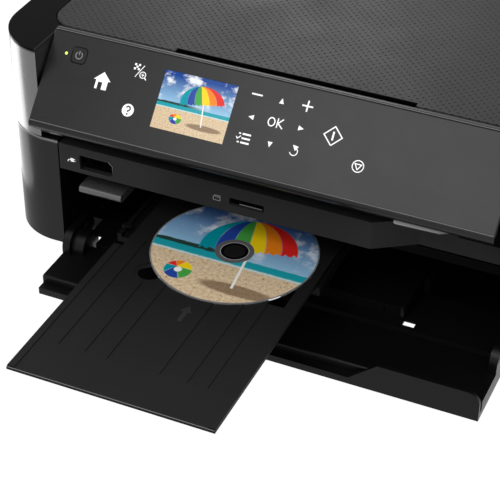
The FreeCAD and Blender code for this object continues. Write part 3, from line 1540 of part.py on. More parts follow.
def ink_carriage():
    """The carriage: six tank bays, a bore for its shaft and a fork that holds the belt."""
    front, rear = "front + carriage_front", "front + carriage_rear"
    block = box("carriage_left", "carriage_right", front, rear, "carriage_bottom", "carriage_top")
    bays = [box(tank_spot(i), f"{tank_spot(i)} + tank_width", "front + tank_front",
                "front + tank_front + tank_depth", "tank_bottom", "carriage_top + past")
            for i in range(SIZES["tank_count"])]
    clamp = box("carriage_left + clamp_inset", "carriage_left + clamp_inset + clamp_width",
                f"{rear} - past", "belt_y + belt_width / 2 + clamp_behind", "clamp_bottom", "clamp_top")
    slot = box("carriage_left", "carriage_right", "belt_y - belt_width / 2 - clamp_front_gap",
               "belt_y + belt_width / 2 + trim_reach",
               "belt_low - fit_gap", "belt_low + belt_thick + fit_gap")
    bore = rod("x", "shaft_radius + running_gap", "carriage_left - past", "carriage_right + past",
               "shaft_y", "shaft_z")
    return node(cut(fuse(block, clamp), slot, bore, *bays), "ink_carriage")


def ink_tank(index):
    """One tank with a low nose to press it out by."""
    x0 = f"{tank_spot(index)} + tank_gap"
    x1 = f"{tank_spot(index)} + tank_width - tank_gap"
    y0 = "front + tank_front + tank_gap"
    y1 = "front + tank_front + tank_depth - tank_gap"
    body = box(x0, x1, y0, y1, "tank_bottom", "tank_top")
    step = box(f"{x0} - past", f"{x1} + past", f"{y0} - past", f"{y0} + tank_nose", "carriage_top",
               "tank_top + past")
    return cut(body, step)


def toothless_belt(plane_start, plane_end, ends, inner, thick, plane, name):
    """A flat belt round two pulleys of one size; ends are their centres in the belt's plane."""
    (u0, v0), (u1, v1) = ends
    axis = {"xz": "y", "yz": "x"}[plane]
    spots = [(value(u0), value(v0)), (value(u1), value(v1))]
    run = FreeCAD.Vector(spots[1][0] - spots[0][0], spots[1][1] - spots[0][1], 0)
    side = FreeCAD.Vector(-run.y / run.Length, run.x / run.Length, 0)

    def band(radius, start, end):
        corners = [(f"{u} + {s} * ({radius}) * {side.x}", f"{v} + {s} * ({radius}) * {side.y}")
                   for u, v, s in ((u0, v0, -1), (u1, v1, -1), (u1, v1, 1), (u0, v0, 1))]
        middle = prism(plane, corners, start, end, (), name)
        rounds = [rod(axis, radius, start, end, u, v) for u, v in ends]
        return fuse(middle, *rounds)

    return cut(band(f"{inner} + {thick}", plane_start, plane_end),
               band(inner, f"{plane_start} - past", f"{plane_end} + past"))


ink_carriage()
node(box("carriage_left + head_inset", "carriage_right - head_inset", "front + head_front",
         "front + head_front + head_depth", "carriage_bottom - head_height", "carriage_bottom"),
     "print_head")
group([ink_tank(i) for i in range(SIZES["tank_count"])], "ink_tanks")
node(toothless_belt("belt_y - belt_width / 2", "belt_y + belt_width / 2",
                    [("-belt_end", "belt_z"), ("belt_end", "belt_z")], "(pulley_radius + belt_room)",
                    "belt_thick", "xz", "carriage_belt_band"), "carriage_belt")
motor_can = rod("y", "motor_radius", "motor_face", "motor_face + motor_length", "belt_end", "belt_z")
motor_bore = rod("y", "motor_shaft + running_gap", "motor_face - past", "motor_face + motor_bore",
                 "belt_end", "belt_z")
node(cut(motor_can, motor_bore), "carriage_motor")
node(fuse(rod("y", "pulley_radius", "pulley_front", "pulley_rear", "belt_end", "belt_z"),
          rod("y", "motor_shaft", "pulley_front", "motor_face + shaft_in_motor", "belt_end", "belt_z")),
     "motor_pulley")
node(cut(rod("y", "pulley_radius", "pulley_front", "pulley_rear", "-belt_end", "belt_z"),
         rod("y", "idler_stud + running_gap", "pulley_front - past", "pulley_rear + past", "-belt_end",
             "belt_z")), "idler_pulley")


def platen():
    """The printing bed: a beam between the plates and a grooved table before the parking area."""
    beam = box("-chassis_x", "chassis_x", "front + platen_front", "front + platen_front + platen_beam",
               "platen_top - platen_height", "platen_top")
    table = box("-chassis_x", "platen_end", "front + platen_front",
                "front + platen_front + platen_table", "platen_top - platen_height", "platen_top")
    troughs = [box("feed_left + trough_left", "platen_end - trough_right", f"front + platen_front + {y}",
                   f"front + platen_front + {y} + foam_width", "platen_top - foam_deep",
                   "platen_top + past")
               for y in ("foam_first", "foam_second")]
    return node(cut(fuse(beam, table), *troughs), "platen")


def roller(y, sleeves, pulleys):
    """A shaft with rubber sleeves between the side plates and its pulleys at the left."""
    shaft = rod("x", "roller_core", "-chassis_x - chassis_thick", "chassis_x + chassis_thick", y,
                "roller_z")
    wheels = [rod("x", "drive_radius", f"{plane} - drive_width / 2", f"{plane} + drive_width / 2", y,
                  "roller_z")
              for plane in pulleys]
    return fuse(shaft, *wheels, *[rod("x", "roller_radius", x0, x1, y, "roller_z") for x0, x1 in sleeves])


platen()
sleeve_spots = [f"(-{SIZES['sleeve_count'] // 2} * sleeve_pitch + {n} * sleeve_pitch)"
                for n in range(SIZES["sleeve_count"])]
node(roller("exit_y", [(f"{x} - sleeve_width / 2", f"{x} + sleeve_width / 2") for x in sleeve_spots],
            ["link_plane"]),
     "exit_roller")
node(roller("feed_y", [("feed_left", "feed_right")], ["link_plane", "drive_plane"]), "feed_roller")
group([toothless_belt("link_plane - drive_width / 2 + belt_side_gap",
                      "link_plane + drive_width / 2 - belt_side_gap",
                      [("exit_y", "roller_z"), ("feed_y", "roller_z")], "belt_inner", "drive_belt", "yz",
                      "link_band"),
       toothless_belt("drive_plane - drive_width / 2 + belt_side_gap",
                      "drive_plane + drive_width / 2 - belt_side_gap",
                      [("feed_y", "roller_z"), ("feed_motor_y", "feed_motor_z")], "belt_inner",
                      "drive_belt", "yz", "drive_band")], "feed_belts")
feed_can = rod("x", "motor_radius", "feed_face - motor_length", "feed_face", "feed_motor_y", "feed_motor_z")
feed_bore = rod("x", "motor_shaft + running_gap", "feed_face - motor_bore", "feed_face + past",
                "feed_motor_y", "feed_motor_z")
node(cut(feed_can, feed_bore), "feed_motor")
node(fuse(rod("x", "motor_shaft", "feed_face - shaft_in_motor", "drive_plane", "feed_motor_y",
              "feed_motor_z"),
          rod("x", "drive_radius", "drive_plane - drive_width / 2", "drive_plane + drive_width / 2",
              "feed_motor_y", "feed_motor_z")), "feed_motor_pulley")


def pinch_roller_bar():
    """The raised bar whose arms carry the pinch rollers over the feed roller."""
    bar_front = "front + pinch_bar_front"
    bar = box("-chassis_x", "chassis_x", bar_front, f"{bar_front} + pinch_bar_depth", "pinch_bar_bottom",
              "pinch_bar_top")
    arms = [box(x, f"{x} + pinch_arm", "pinch_y - pinch_nose", f"{bar_front} + past", "pinch_bar_bottom",
                "pinch_bar_top")
            for x in ("pinch_arm_left", "pinch_arm_right")]
    bore = rod("x", "pinch_axle + running_gap", "pinch_arm_left - past",
               "pinch_arm_right + pinch_arm + past", "pinch_y", "pinch_z")
    return node(cut(fuse(bar, *arms), bore), "pinch_roller_bar")


pinch_roller_bar()
pinch_spots = [f"({x} + pinch_offset)" for x in sleeve_spots[:-1]]
node(fuse(rod("x", "pinch_axle", "pinch_arm_left", "pinch_arm_right + pinch_arm", "pinch_y", "pinch_z"),
          *[rod("x", "pinch_radius", f"{x} - pinch_half", f"{x} + pinch_half", "pinch_y", "pinch_z")
            for x in pinch_spots]),
     "pinch_rollers")


def maintenance_station():
    """The parking station on its leg, with the raised cap that seals the head's nozzles."""
    block = box("station_left", "station_right", "station_y", "station_y + station_depth", "station_bottom",
                "station_top")
    leg = box("leg_left", "station_right", "station_y + leg_inset", "station_y + station_depth - leg_inset",
              "pan_top", "station_bottom + past")
    cap_y = "(station_y + cap_inset)"
    cap = box("cap_left", "cap_right", cap_y, f"{cap_y} + cap_depth", "station_top - past", "cap_top")
    basin = box("cap_left + cap_wall", "cap_right - cap_wall", f"{cap_y} + cap_wall",
                f"{cap_y} + cap_depth - cap_wall", "cap_top - cap_sink", "cap_top + past")
    return node(cut(fuse(block, leg, cap), basin), "maintenance_station")


maintenance_station()
node(box("main_board_x", "main_board_x + board_thick", "front + main_board_front",
         "front + main_board_front + main_board_depth", "case_floor", "case_floor + main_board_height"),
     "main_board")
node(box("supply_left", "supply_left + supply_width", "supply_y",
         "supply_y + supply_depth", "case_floor", "case_floor + supply_height"), "power_supply")


# ---- Check and write ----
def write_parts():
    """Recompute, make sure that every object is sound, and write one file for each node."""
    DOC.recompute()
    failed = [f"{obj.Label}: {obj.State}" for obj in DOC.Objects
              if "Invalid" in obj.State or "Error" in obj.State]
    if failed:
        raise RuntimeError("failed objects: " + "; ".join(failed))
    os.makedirs("parts", exist_ok=True)
    for sub_part in NODES:
        shape = sub_part.Shape
        if shape.isNull() or not shape.isValid() or not shape.Solids:
            raise RuntimeError(f"{sub_part.Label} has no sound shape")
        shape.exportStep(f"parts/{sub_part.Label}.step")
        size = shape.BoundBox
        print(f"{sub_part.Label}: {len(shape.Solids)} solid(s), {shape.Volume / 1000:.2f} cm3, "
              f"x {size.XMin:.1f}..{size.XMax:.1f}, y {size.YMin:.1f}..{size.YMax:.1f}, "
              f"z {size.ZMin:.1f}..{size.ZMax:.1f}")


write_parts()
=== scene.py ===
# %% [markdown]
# # Disc label printer
# This lesson dresses a finished CAD model of an inkjet printer that can print on discs. The
# model comes in as a fixed frame: every solid is in place.
# Here the solids get finishes, and the small surfaces that a CAD solid can't carry, such as
# printed signs, a screen picture and a disc label, are worked out with numpy.

# %% Load the frame
import json
import math

import bpy
import numpy as np
from mathutils import Matrix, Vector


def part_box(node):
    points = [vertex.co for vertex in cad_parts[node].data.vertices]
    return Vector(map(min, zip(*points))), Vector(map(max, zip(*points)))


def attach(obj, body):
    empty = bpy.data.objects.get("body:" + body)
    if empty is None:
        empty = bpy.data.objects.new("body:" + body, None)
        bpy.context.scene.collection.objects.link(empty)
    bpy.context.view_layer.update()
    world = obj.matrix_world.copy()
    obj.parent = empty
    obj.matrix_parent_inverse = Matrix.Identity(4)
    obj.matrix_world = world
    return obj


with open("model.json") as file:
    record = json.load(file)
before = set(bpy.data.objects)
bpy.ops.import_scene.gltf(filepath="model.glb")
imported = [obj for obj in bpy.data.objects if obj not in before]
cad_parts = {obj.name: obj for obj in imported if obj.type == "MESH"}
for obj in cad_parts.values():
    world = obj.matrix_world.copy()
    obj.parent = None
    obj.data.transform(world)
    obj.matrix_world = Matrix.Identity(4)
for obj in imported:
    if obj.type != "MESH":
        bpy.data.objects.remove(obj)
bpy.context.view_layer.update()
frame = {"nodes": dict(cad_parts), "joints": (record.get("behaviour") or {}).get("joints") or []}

# %% [markdown]
# ## Camera
# A product picture is taken with a long lens from above the front right corner, close enough
# that the printer runs out of the frame. The camera is placed by its own position and by two
# angles, because those three can be measured; aiming it at an empty would hide them.

# %% Place the camera
MM = 0.001
EYE = np.array([367.3, -965.9, 758.6]) * MM
AZIMUTH = math.radians(24.05)
ELEVATION = math.radians(36.30)
ROLL = math.radians(0.297)
LENS = 119.6


def new_object(name, data):
    """An object of that name on its data, linked into the scene."""
    made = bpy.data.objects.new(name, data)
    bpy.context.scene.collection.objects.link(made)
    return made


def look_from(eye, azimuth, elevation, roll, lens):
    """A camera whose view turns azimuth round +Z from +Y, dips by elevation and rolls on itself."""
    data = bpy.data.cameras.new("view_camera")
    data.lens = lens
    data.sensor_width = 36
    data.clip_start, data.clip_end = 0.05, 20
    camera = new_object("view_camera", data)
    camera.location = eye
    turn = Matrix.Rotation(azimuth, 3, "Z") @ Matrix.Rotation(math.pi / 2 - elevation, 3, "X")
    camera.rotation_mode = "XYZ"
    camera.rotation_euler = (turn @ Matrix.Rotation(roll, 3, "Z")).to_euler("XYZ")
    bpy.context.scene.camera = camera


look_from(EYE, AZIMUTH, ELEVATION, ROLL, LENS)
print("camera at", EYE)

# %% [markdown]
# ## Light
# Black plastic shows hardly any colour of its own: what is seen is the room mirrored in it. So
# the room is a plain white one, as bright in a mirror as behind the object, while it lights
# matt surfaces less. Three large soft lamps give the shapes their gradients. A small one behind
# spreads a sheen over the middle of the lid, and a low one on the table gives the polished
# columns the bright edge that a light table gives them in a studio. A picture of a room could do
# all of that at once, but lamps can be moved one at a time.

# %% White room
WHITE = (1.0, 1.0, 1.0, 1.0)
ROOM_FILL = 0.5


def plain(tree, kind, **settings):
    """A new node of a kind in a tree, with its settings made."""
    made = tree.nodes.new(kind)
    for name, setting in settings.items():
        setattr(made, name, setting)
    return made


def feed(tree, target, source):
    """Link a socket or a field to an input, or set the input's own value."""
    source = getattr(source, "socket", source)
    if isinstance(source, bpy.types.NodeSocket):
        tree.links.new(source, target)
    else:
        target.default_value = source


def math_node(tree, operation, *values):
    """The result of a Math node on sockets or numbers."""
    made = plain(tree, "ShaderNodeMath", operation=operation)
    for i, given in enumerate(values):
        feed(tree, made.inputs[i], given)
    return made.outputs[0]


def seen_ray(tree):
    """1 for rays from the camera, from mirrors and through glass, 0 for the rest."""
    path = plain(tree, "ShaderNodeLightPath")
    seen = math_node(tree, "MAXIMUM", path.outputs["Is Camera Ray"], path.outputs["Is Glossy Ray"])
    return math_node(tree, "MAXIMUM", seen, path.outputs["Is Transmission Ray"])


def white_room(fill):
    """A white world: strength 1 where it is seen, and fill where it lights matt surfaces."""
    world = bpy.data.worlds.new("white_room")
    world.use_nodes = True
    tree = world.node_tree
    tree.nodes.clear()
    ground = plain(tree, "ShaderNodeBackground")
    ground.inputs["Color"].default_value = WHITE
    span = math_node(tree, "MULTIPLY_ADD", seen_ray(tree), 1 - fill, fill)
    tree.links.new(span, ground.inputs["Strength"])
    out = plain(tree, "ShaderNodeOutputWorld")
    tree.links.new(ground.outputs[0], out.inputs[0])
    bpy.context.scene.world = world
    bpy.context.scene.view_settings.view_transform = "Standard"


def soft_lamp(name, place, aim, size, power):
    """A rectangular lamp at place that faces aim, its two sides in metres and its power in watts.
    The camera doesn't see the lamp itself, but gloss does."""
    data = bpy.data.lights.new(name, "AREA")
    data.shape = "RECTANGLE"
    data.size, data.size_y = size
    data.energy = power
    lamp = new_object(name, data)
    lamp.location = place
    toward = np.array(aim) - np.array(place)
    lamp.rotation_mode = "XYZ"
    lamp.rotation_euler = (math.acos(-toward[2] / np.linalg.norm(toward)), 0,
                           math.atan2(toward[1], toward[0]) - math.pi / 2)
    lamp.visible_camera = False


LAMPS = {
    "key_lamp": ((-0.3, -1.5, 1.9), (0, 0, 0.1), (1.3, 1.1), 14),
    "side_lamp": ((-1.9, -0.1, 1.0), (-0.2, 0, 0.1), (1.4, 1.0), 10),
    "back_lamp": ((0.1, 1.7, 1.8), (0, 0, 0.15), (1.8, 0.7), 4),
    "lid_lamp": ((-0.38, 0.86, 0.66), (-0.04, 0.02, 0.187), (0.34, 0.34), 1.25),
    "low_lamp": ((-0.47, -0.03, 0.004), (-0.47, -0.03, 0.4), (0.2, 0.36), 0.7),
}
white_room(ROOM_FILL)
for lamp_name, (place, aim, size, power) in LAMPS.items():
    soft_lamp(lamp_name, place, aim, size, power)
print("lamps:", *LAMPS)

# %% [markdown]
# ## Floor
# The floor is a large white sheet. Seen directly it is mostly plain white, so that it meets the
# background without a line, and a part of it stays an ordinary matt surface that takes the
# printer's shadow.

# %% White floor
FLOOR_HALF = 6.0
FLOOR_SHADE = 0.12
FLOOR_GLOW = 1.14
FLOOR_MATT = 0.45


def mesh_object(name, points, faces, smooth=True):
    """An object from points, n by 3 in metres, and faces, an array or a list of corner lists."""
    data = bpy.data.meshes.new(name)
    corners = faces.tolist() if isinstance(faces, np.ndarray) else faces
    data.from_pydata(np.asarray(points, float).tolist(), [], corners)
    data.polygons.foreach_set("use_smooth", np.full(len(data.polygons), smooth))
    data.update()
    return new_object(name, data)


def floor_material():
    """Matt white, with plain white mixed in where the camera or a mirror sees it."""
    made = bpy.data.materials.new("floor_white")
    made.use_nodes = True
    tree = made.node_tree
    tree.nodes.clear()
    matt = plain(tree, "ShaderNodeBsdfDiffuse")
    matt.inputs["Color"].default_value = (FLOOR_MATT, FLOOR_MATT, FLOOR_MATT, 1)
    glow = plain(tree, "ShaderNodeEmission")
    glow.inputs["Color"].default_value = WHITE
    glow.inputs["Strength"].default_value = FLOOR_GLOW
    mix = plain(tree, "ShaderNodeMixShader")
    tree.links.new(math_node(tree, "MULTIPLY", seen_ray(tree), 1 - FLOOR_SHADE), mix.inputs[0])
    tree.links.new(matt.outputs[0], mix.inputs[1])
    tree.links.new(glow.outputs[0], mix.inputs[2])
    out = plain(tree, "ShaderNodeOutputMaterial")
    tree.links.new(mix.outputs[0], out.inputs[0])
    return made


corners = FLOOR_HALF * np.array([[-1, -1, 0], [1, -1, 0], [1, 1, 0], [-1, 1, 0]])
floor = mesh_object("white_floor", corners, [[0, 1, 2, 3]])
floor.data.materials.append(floor_material())
print("floor half size", FLOOR_HALF)

# %% [markdown]
# ## Fields for procedural finishes
# A finish is a rule that gives each point of a surface its colour, gloss and tiny relief. Such
# rules are sums and products of simple patterns, so a small class lets them be written as
# arithmetic; every operation adds one Math node.

# %% Arithmetic on node sockets
def tone(red, green, blue):
    """A colour of a surface, given by its display values 0..255, as linear light."""
    level = np.array([red, green, blue]) / 255
    linear = np.where(level <= 0.04045, level / 12.92, ((level + 0.055) / 1.055) ** 2.4)
    return (*[float(v) for v in linear], 1.0)


class Field:
    """A number that varies over a surface. Sums, products and the other operations of a Math node
    give new fields."""

    def __init__(self, tree, socket):
        self.tree = tree
        self.socket = socket

    def made(self, operation, *others):
        """The field that a Math node makes of this one and others, fields or numbers."""
        return Field(self.tree, math_node(self.tree, operation, self, *others))

    def __add__(self, other):
        return self.made("ADD", other)

    def __sub__(self, other):
        return self.made("SUBTRACT", other)

    def __mul__(self, other):
        return self.made("MULTIPLY", other)

    def __truediv__(self, other):
        return self.made("DIVIDE", other)

    def below(self, limit, soft=0.004):
        """1 where the field is under limit, 0 where it is over, with a soft step between."""
        gap = self.made("SUBTRACT", limit) * (-1 / soft) + 0.5
        return gap.made("MINIMUM", 1.0).made("MAXIMUM", 0.0)

    def above(self, limit, soft=0.004):
        """1 where the field is over limit, 0 where it is under."""
        gap = self.made("SUBTRACT", limit) * (1 / soft) + 0.5
        return gap.made("MINIMUM", 1.0).made("MAXIMUM", 0.0)


def split(tree, vector):
    """The three fields of a vector socket."""
    parts = plain(tree, "ShaderNodeSeparateXYZ")
    tree.links.new(vector, parts.inputs[0])
    return [Field(tree, socket) for socket in parts.outputs]


def noise(tree, vector, scale, detail=2.0, roughness=0.5):
    """Cloudy noise between 0 and 1."""
    made = plain(tree, "ShaderNodeTexNoise")
    tree.links.new(vector, made.inputs["Vector"])
    feed(tree, made.inputs["Scale"], scale)
    made.inputs["Detail"].default_value = detail
    made.inputs["Roughness"].default_value = roughness
    return Field(tree, made.outputs["Fac"])


def over(tree, under, colour, mask):
    """The colour where mask is 1 and what lies under it where mask is 0."""
    mix = plain(tree, "ShaderNodeMix", data_type="RGBA")
    feed(tree, mix.inputs["Factor"], mask)
    feed(tree, mix.inputs[6], under)
    feed(tree, mix.inputs[7], colour)
    return mix.outputs[2]


print("mid grey in linear light:", round(tone(128, 128, 128)[0], 3))

# %% [markdown]
# ## Shared effects
# Several finishes use the same effects: the fine grain that a mould leaves in plastic, the
# uneven gloss of a surface that has been wiped and handled, and a pattern of small round dots.
# Each effect is a node group that is built once and placed in each material with its own
# values. The groups give only masks and heights, so that each material keeps its own shader.

# %% Node groups
def group_tree(name, inputs, outputs):
    """An empty shader group with named sockets; inputs maps a name to (type, default)."""
    tree = bpy.data.node_groups.new(name, "ShaderNodeTree")
    for label, (kind, default) in inputs.items():
        made = tree.interface.new_socket(label, in_out="INPUT", socket_type=kind)
        if default is not None:
            made.default_value = default
    for label, kind in outputs.items():
        tree.interface.new_socket(label, in_out="OUTPUT", socket_type=kind)
    return tree, plain(tree, "NodeGroupInput").outputs, plain(tree, "NodeGroupOutput").inputs


NUMBER, VECTOR, COLOUR = "NodeSocketFloat", "NodeSocketVector", "NodeSocketColor"


def moulded_grain():
    """Fine and coarse noise, two parts to one, as a height between 0 and 1."""
    tree, given, out = group_tree("moulded_grain", {"Vector": (VECTOR, None), "Scale": (NUMBER, 900.0)},
                                  {"Height": NUMBER})
    fine = noise(tree, given["Vector"], given["Scale"], 3.0)
    coarse = noise(tree, given["Vector"], Field(tree, given["Scale"]) * 0.3, 1.0)
    feed(tree, out["Height"], (fine * 2 + coarse) / 3)
    return tree


def handled_gloss():
    """Roughness that wanders between Clean and Handled over a few centimetres, with a fine speck
    of dust added."""
    tree, given, out = group_tree("handled_gloss", {"Vector": (VECTOR, None), "Clean": (NUMBER, 0.2),
                                                    "Handled": (NUMBER, 0.3)}, {"Roughness": NUMBER})
    smear = noise(tree, given["Vector"], 22.0, 4.0, 0.65).above(0.5, 0.35)
    specks = noise(tree, given["Vector"], 1500.0, 0.0).above(0.74, 0.05) * 0.12
    clean = Field(tree, given["Clean"])
    worn = (Field(tree, given["Handled"]) - clean) * smear
    feed(tree, out["Roughness"], clean + worn + specks)
    return tree


def round_dots():
    """1 inside the round dots of a square lattice turned by 45 degrees: the sum and the difference
    of x and y, each over twice the row pitch, count the dots, and the distance from the nearest
    one, over the dots' spacing, is set against the dot's share of it."""
    tree, given, out = group_tree("round_dots", {"Vector": (VECTOR, None), "Row Pitch": (NUMBER, 0.003),
                                                 "Share": (NUMBER, 0.2)}, {"Mask": NUMBER})
    x, y, _ = split(tree, given["Vector"])
    double = Field(tree, given["Row Pitch"]) * 2
    dx = ((x + y) / double).made("FRACT") - 0.5
    dy = ((x - y) / double).made("FRACT") - 0.5
    far = (dx * dx + dy * dy).made("SQRT")
    feed(tree, out["Mask"], far.below(Field(tree, given["Share"]), 0.05))
    return tree


GRAIN = moulded_grain()
GLOSS = handled_gloss()
DOTS = round_dots()
print("groups:", GRAIN.name, GLOSS.name, DOTS.name)

# %% [markdown]
# ## A material and its relief
# Every finish below is one Principled shader with a procedural colour, roughness and bump. The
# recipe is the same for all of them: Object coordinates go into the groups, the groups feed the
# shader, and whatever is the same all over is set on the shader's own socket.

# %% Material helpers
def place_group(tree, group, vector, **values):
    """A placed node group that reads the vector; returns its first output as a field."""
    made = plain(tree, "ShaderNodeGroup", node_tree=group)
    tree.links.new(vector, made.inputs["Vector"])
    for name, number in values.items():
        feed(tree, made.inputs[name.replace("_", " ")], number)
    return Field(tree, made.outputs[0])


def shader(name, **sockets):
    """A material with a Principled shader; returns it with its tree, shader and coordinates."""
    made = bpy.data.materials.new(name)
    made.use_nodes = True
    tree = made.node_tree
    surface = tree.nodes["Principled BSDF"]
    for label, number in sockets.items():
        surface.inputs[label.replace("_", " ")].default_value = number
    return made, tree, surface, plain(tree, "ShaderNodeTexCoord").outputs


def wire(surface, **fields):
    """Link fields or sockets to the shader's inputs of those names."""
    for label, field in fields.items():
        feed(surface.id_data, surface.inputs[label.replace("_", " ")], field)


def polish(surface, at, clean, handled):
    """The shared wandering gloss, between its clean and its handled roughness, as a field."""
    return place_group(surface.id_data, GLOSS, at["Object"], Clean=clean, Handled=handled)


def relief(surface, height, distance):
    """Send a height field to the shader's normal as a bump of a real depth in metres."""
    bump = plain(surface.id_data, "ShaderNodeBump")
    bump.inputs["Distance"].default_value = distance
    feed(surface.id_data, bump.inputs["Height"], height)
    wire(surface, Normal=bump.outputs[0])


def plastic(name, colour, clean, handled, grain_scale=900.0, grain_depth=0.00003, lift=1.25, shine=0.3):
    """Moulded plastic: its colour and a slightly lighter one by the grain, wandering gloss and a
    fine relief; shine is how much it mirrors face on."""
    made, tree, surface, at = shader(name, Specular_IOR_Level=shine)
    grain = place_group(tree, GRAIN, at["Object"], Scale=grain_scale)
    lighter = tuple(min(1.0, v * lift) for v in colour[:3]) + (1.0,)
    wire(surface, Base_Color=over(tree, colour, lighter, grain),
         Roughness=polish(surface, at, clean, handled))
    relief(surface, grain, grain_depth)
    return made


def metal(name, colour, clean, handled, stretch):
    """Metal with fine lines along its stretched direction: noise read through a long cell."""
    made, tree, surface, at = shader(name, Metallic=1.0)
    along = plain(tree, "ShaderNodeMapping")
    along.inputs["Scale"].default_value = stretch
    tree.links.new(at["Object"], along.inputs["Vector"])
    lines = noise(tree, along.outputs[0], 600.0, 3.0)
    darker = tuple(v * 0.8 for v in colour[:3]) + (1.0,)
    wire(surface, Base_Color=over(tree, darker, colour, lines),
         Roughness=polish(surface, at, clean, handled) + lines * 0.06)
    relief(surface, lines, 0.00001)
    return made


def finish(material, *names):
    """Give CAD nodes a material, and return it."""
    for name in names:
        slots = frame["nodes"][name].data.materials
        slots.clear()
        slots.append(material)
    print(material.name, "on", *names)
    return material


print("nodes to dress:", len(frame["nodes"]))

# %% [markdown]
# ## Case plastics
# The outer case is one black plastic in several polishes: the columns are nearly mirror bright,
# the fascia and panel are satin, and the inside mouldings are duller and take no polish. Each
# could have a shader of its own, but one recipe with other numbers keeps them a family.

# %% Case and inner plastics
finish(plastic("black_satin", tone(26, 26, 27), 0.30, 0.38, 1100.0, 0.00002), "rear_cover", "paper_support")
finish(plastic("cover_satin", tone(12, 12, 12), 0.30, 0.38, 1100.0, 0.00002, shine=0.16), "front_cover",
       "paper_tray")
finish(plastic("fascia_satin", tone(44, 44, 45), 0.42, 0.5, 1100.0, 0.00002, shine=0.1), "front_fascia")
finish(plastic("socket_black", tone(4, 4, 4), 0.6, 0.7, 900.0, 0.00002, shine=0.02), "usb_socket",
       "card_reader")
finish(plastic("black_inner", tone(11, 11, 11), 0.48, 0.58, 1000.0, 0.00004, shine=0.08), "base_pan",
       "disc_guide", "control_panel_back", "edge_guide", "cover_pivot_pins", "tray_extension", "platen",
       "pinch_roller_bar", "scan_carriage", "ink_carriage", "print_head", "power_supply", "mains_inlet",
       "display_screen")
finish(plastic("dark_tray", tone(24, 24, 25), 0.42, 0.52, 1300.0, 0.00004, shine=0.1), "disc_tray",
       "maintenance_station")
panel_skin = finish(plastic("panel_skin", tone(27, 27, 28), 0.22, 0.28, 500.0, 0.000004, shine=0.25),
                    "control_panel_front")
finish(plastic("key_satin", tone(24, 24, 25), 0.28, 0.34, 900.0, 0.00001, shine=0.2), "power_button")
finish(plastic("lever_grey", tone(72, 72, 73), 0.22, 0.30, 900.0, 0.00002, shine=0.9), "disc_lever")
finish(plastic("bar_grey", tone(150, 150, 151), 0.35, 0.45, 900.0, 0.00002), "panel_release_bar")
finish(plastic("white_moulding", tone(232, 232, 229), 0.4, 0.5, 800.0, 0.00002, 1.03), "lid_inner_plate",
       "idler_pulley", "feed_motor_pulley")

# %% [markdown]
# ## Lacquered columns
# The two columns and the rim of the housing are polished like a piano: a black ground under a
# hard clear coat. Only the upright faces are polished; the flat top is plain black. The faces
# could be split between two materials, but the polish ends in the middle of a rounded edge. So
# the coat's weight is a mask of the place, with a soft end. On the lower columns it is faint,
# and full on the rounded edge of the seam, where a polished edge catches the light.

# %% Piano black with a masked coat
FLAT_TOP = 0.1835
PANEL_HOLLOW = 0.172
SLOPE_HALF, SLOPE_FRONT, SLOPE_LOW = 0.184, -0.058, 0.165
SEAM_ROUND = 0.1124


def lacquer(name, dark, light, clean, handled, coat, sheen_patch_of=None):
    """Black plastic under a clear coat. coat(x, y, z) says how much coat there is at a place, and
    the last argument, if it is given, where the ground is dark grey instead of black: a painted sheen."""
    made, tree, surface, at = shader(name, IOR=1.08, Coat_IOR=2.2, Coat_Roughness=0.22)
    place = split(tree, at["Object"])
    grain = place_group(tree, GRAIN, at["Object"], Scale=500.0)
    ground = over(tree, dark, light, grain)
    if sheen_patch_of:
        ground = over(tree, ground, tone(58, 58, 59), sheen_patch_of(*place))
    wire(surface, Base_Color=ground, Roughness=polish(surface, at, clean, handled),
         Coat_Weight=coat(*place))
    relief(surface, grain, 0.000003)
    return made


def slope_sheen_mask(x, y, z):
    """1 on the slope behind the panel: near enough to the middle, to the front and to the top. The
    dark grey ground there is a painted sheen.
    """
    inner = x.made("ABSOLUTE").below(SLOPE_HALF, 0.001)
    return inner * y.below(SLOPE_FRONT, 0.002) * z.above(SLOPE_LOW, 0.01)


def housing_coat(x, _, z):
    """Full on the upright faces of the columns, none on the flat top."""
    return z.below(FLAT_TOP, 0.002) * x.made("ABSOLUTE").above(PANEL_HOLLOW, 0.006)


def column_coat(_x, _y, z):
    """A little all over, and full on the rounded edge at the seam."""
    return z.above(SEAM_ROUND, 0.0008) * 0.85 + 0.15


# The slope behind the panel gets a dark grey ground: a painted sheen, not the housing's own colour.
finish(lacquer("piano_black", tone(6, 6, 6), tone(10, 10, 10), 0.10, 0.16, housing_coat, slope_sheen_mask),
       "scanner_housing")
finish(lacquer("column_black", tone(14, 14, 15), tone(20, 20, 21), 0.16, 0.24, column_coat),
       "left_side_cover", "right_side_cover")

# %% [markdown]
# ## Lid texture
# The lid is moulded with rows of small round dimples, which hide scratches. Thousands of real
# dimples would cost millions of faces and show the same, so they are a dot pattern that both
# presses the relief in and darkens the colour: that darkening is painted shade in the dimples.

# %% Dimpled lid
LID_PITCH = 0.00303
LID_DOT_SHARE = 0.17
LID_FACE = 0.1862


def dimpled_lid():
    """Dark satin plastic with a lattice of rougher round dimples, darkened by painted shade, and
    black on the lid's edge, below its face."""
    made, tree, surface, at = shader("dimpled_lid", Specular_IOR_Level=0.14)
    grain = place_group(tree, GRAIN, at["Object"], Scale=1200.0)
    dots = place_group(tree, DOTS, at["Object"], Row_Pitch=LID_PITCH, Share=LID_DOT_SHARE)
    ground = over(tree, tone(28, 28, 29), tone(37, 37, 38), grain)
    edge = split(tree, at["Object"])[2].below(LID_FACE, 0.0006)
    # Painted shade: the dimples are darkened to near black.
    shaded_dimples = over(tree, ground, tone(2, 2, 2), dots)
    wire(surface, Base_Color=over(tree, shaded_dimples, tone(2, 2, 2), edge),
         Roughness=polish(surface, at, 0.36, 0.44) + dots * 0.2)
    relief(surface, grain * 0.1 - dots, 0.0003)
    return made


finish(dimpled_lid(), "document_lid")

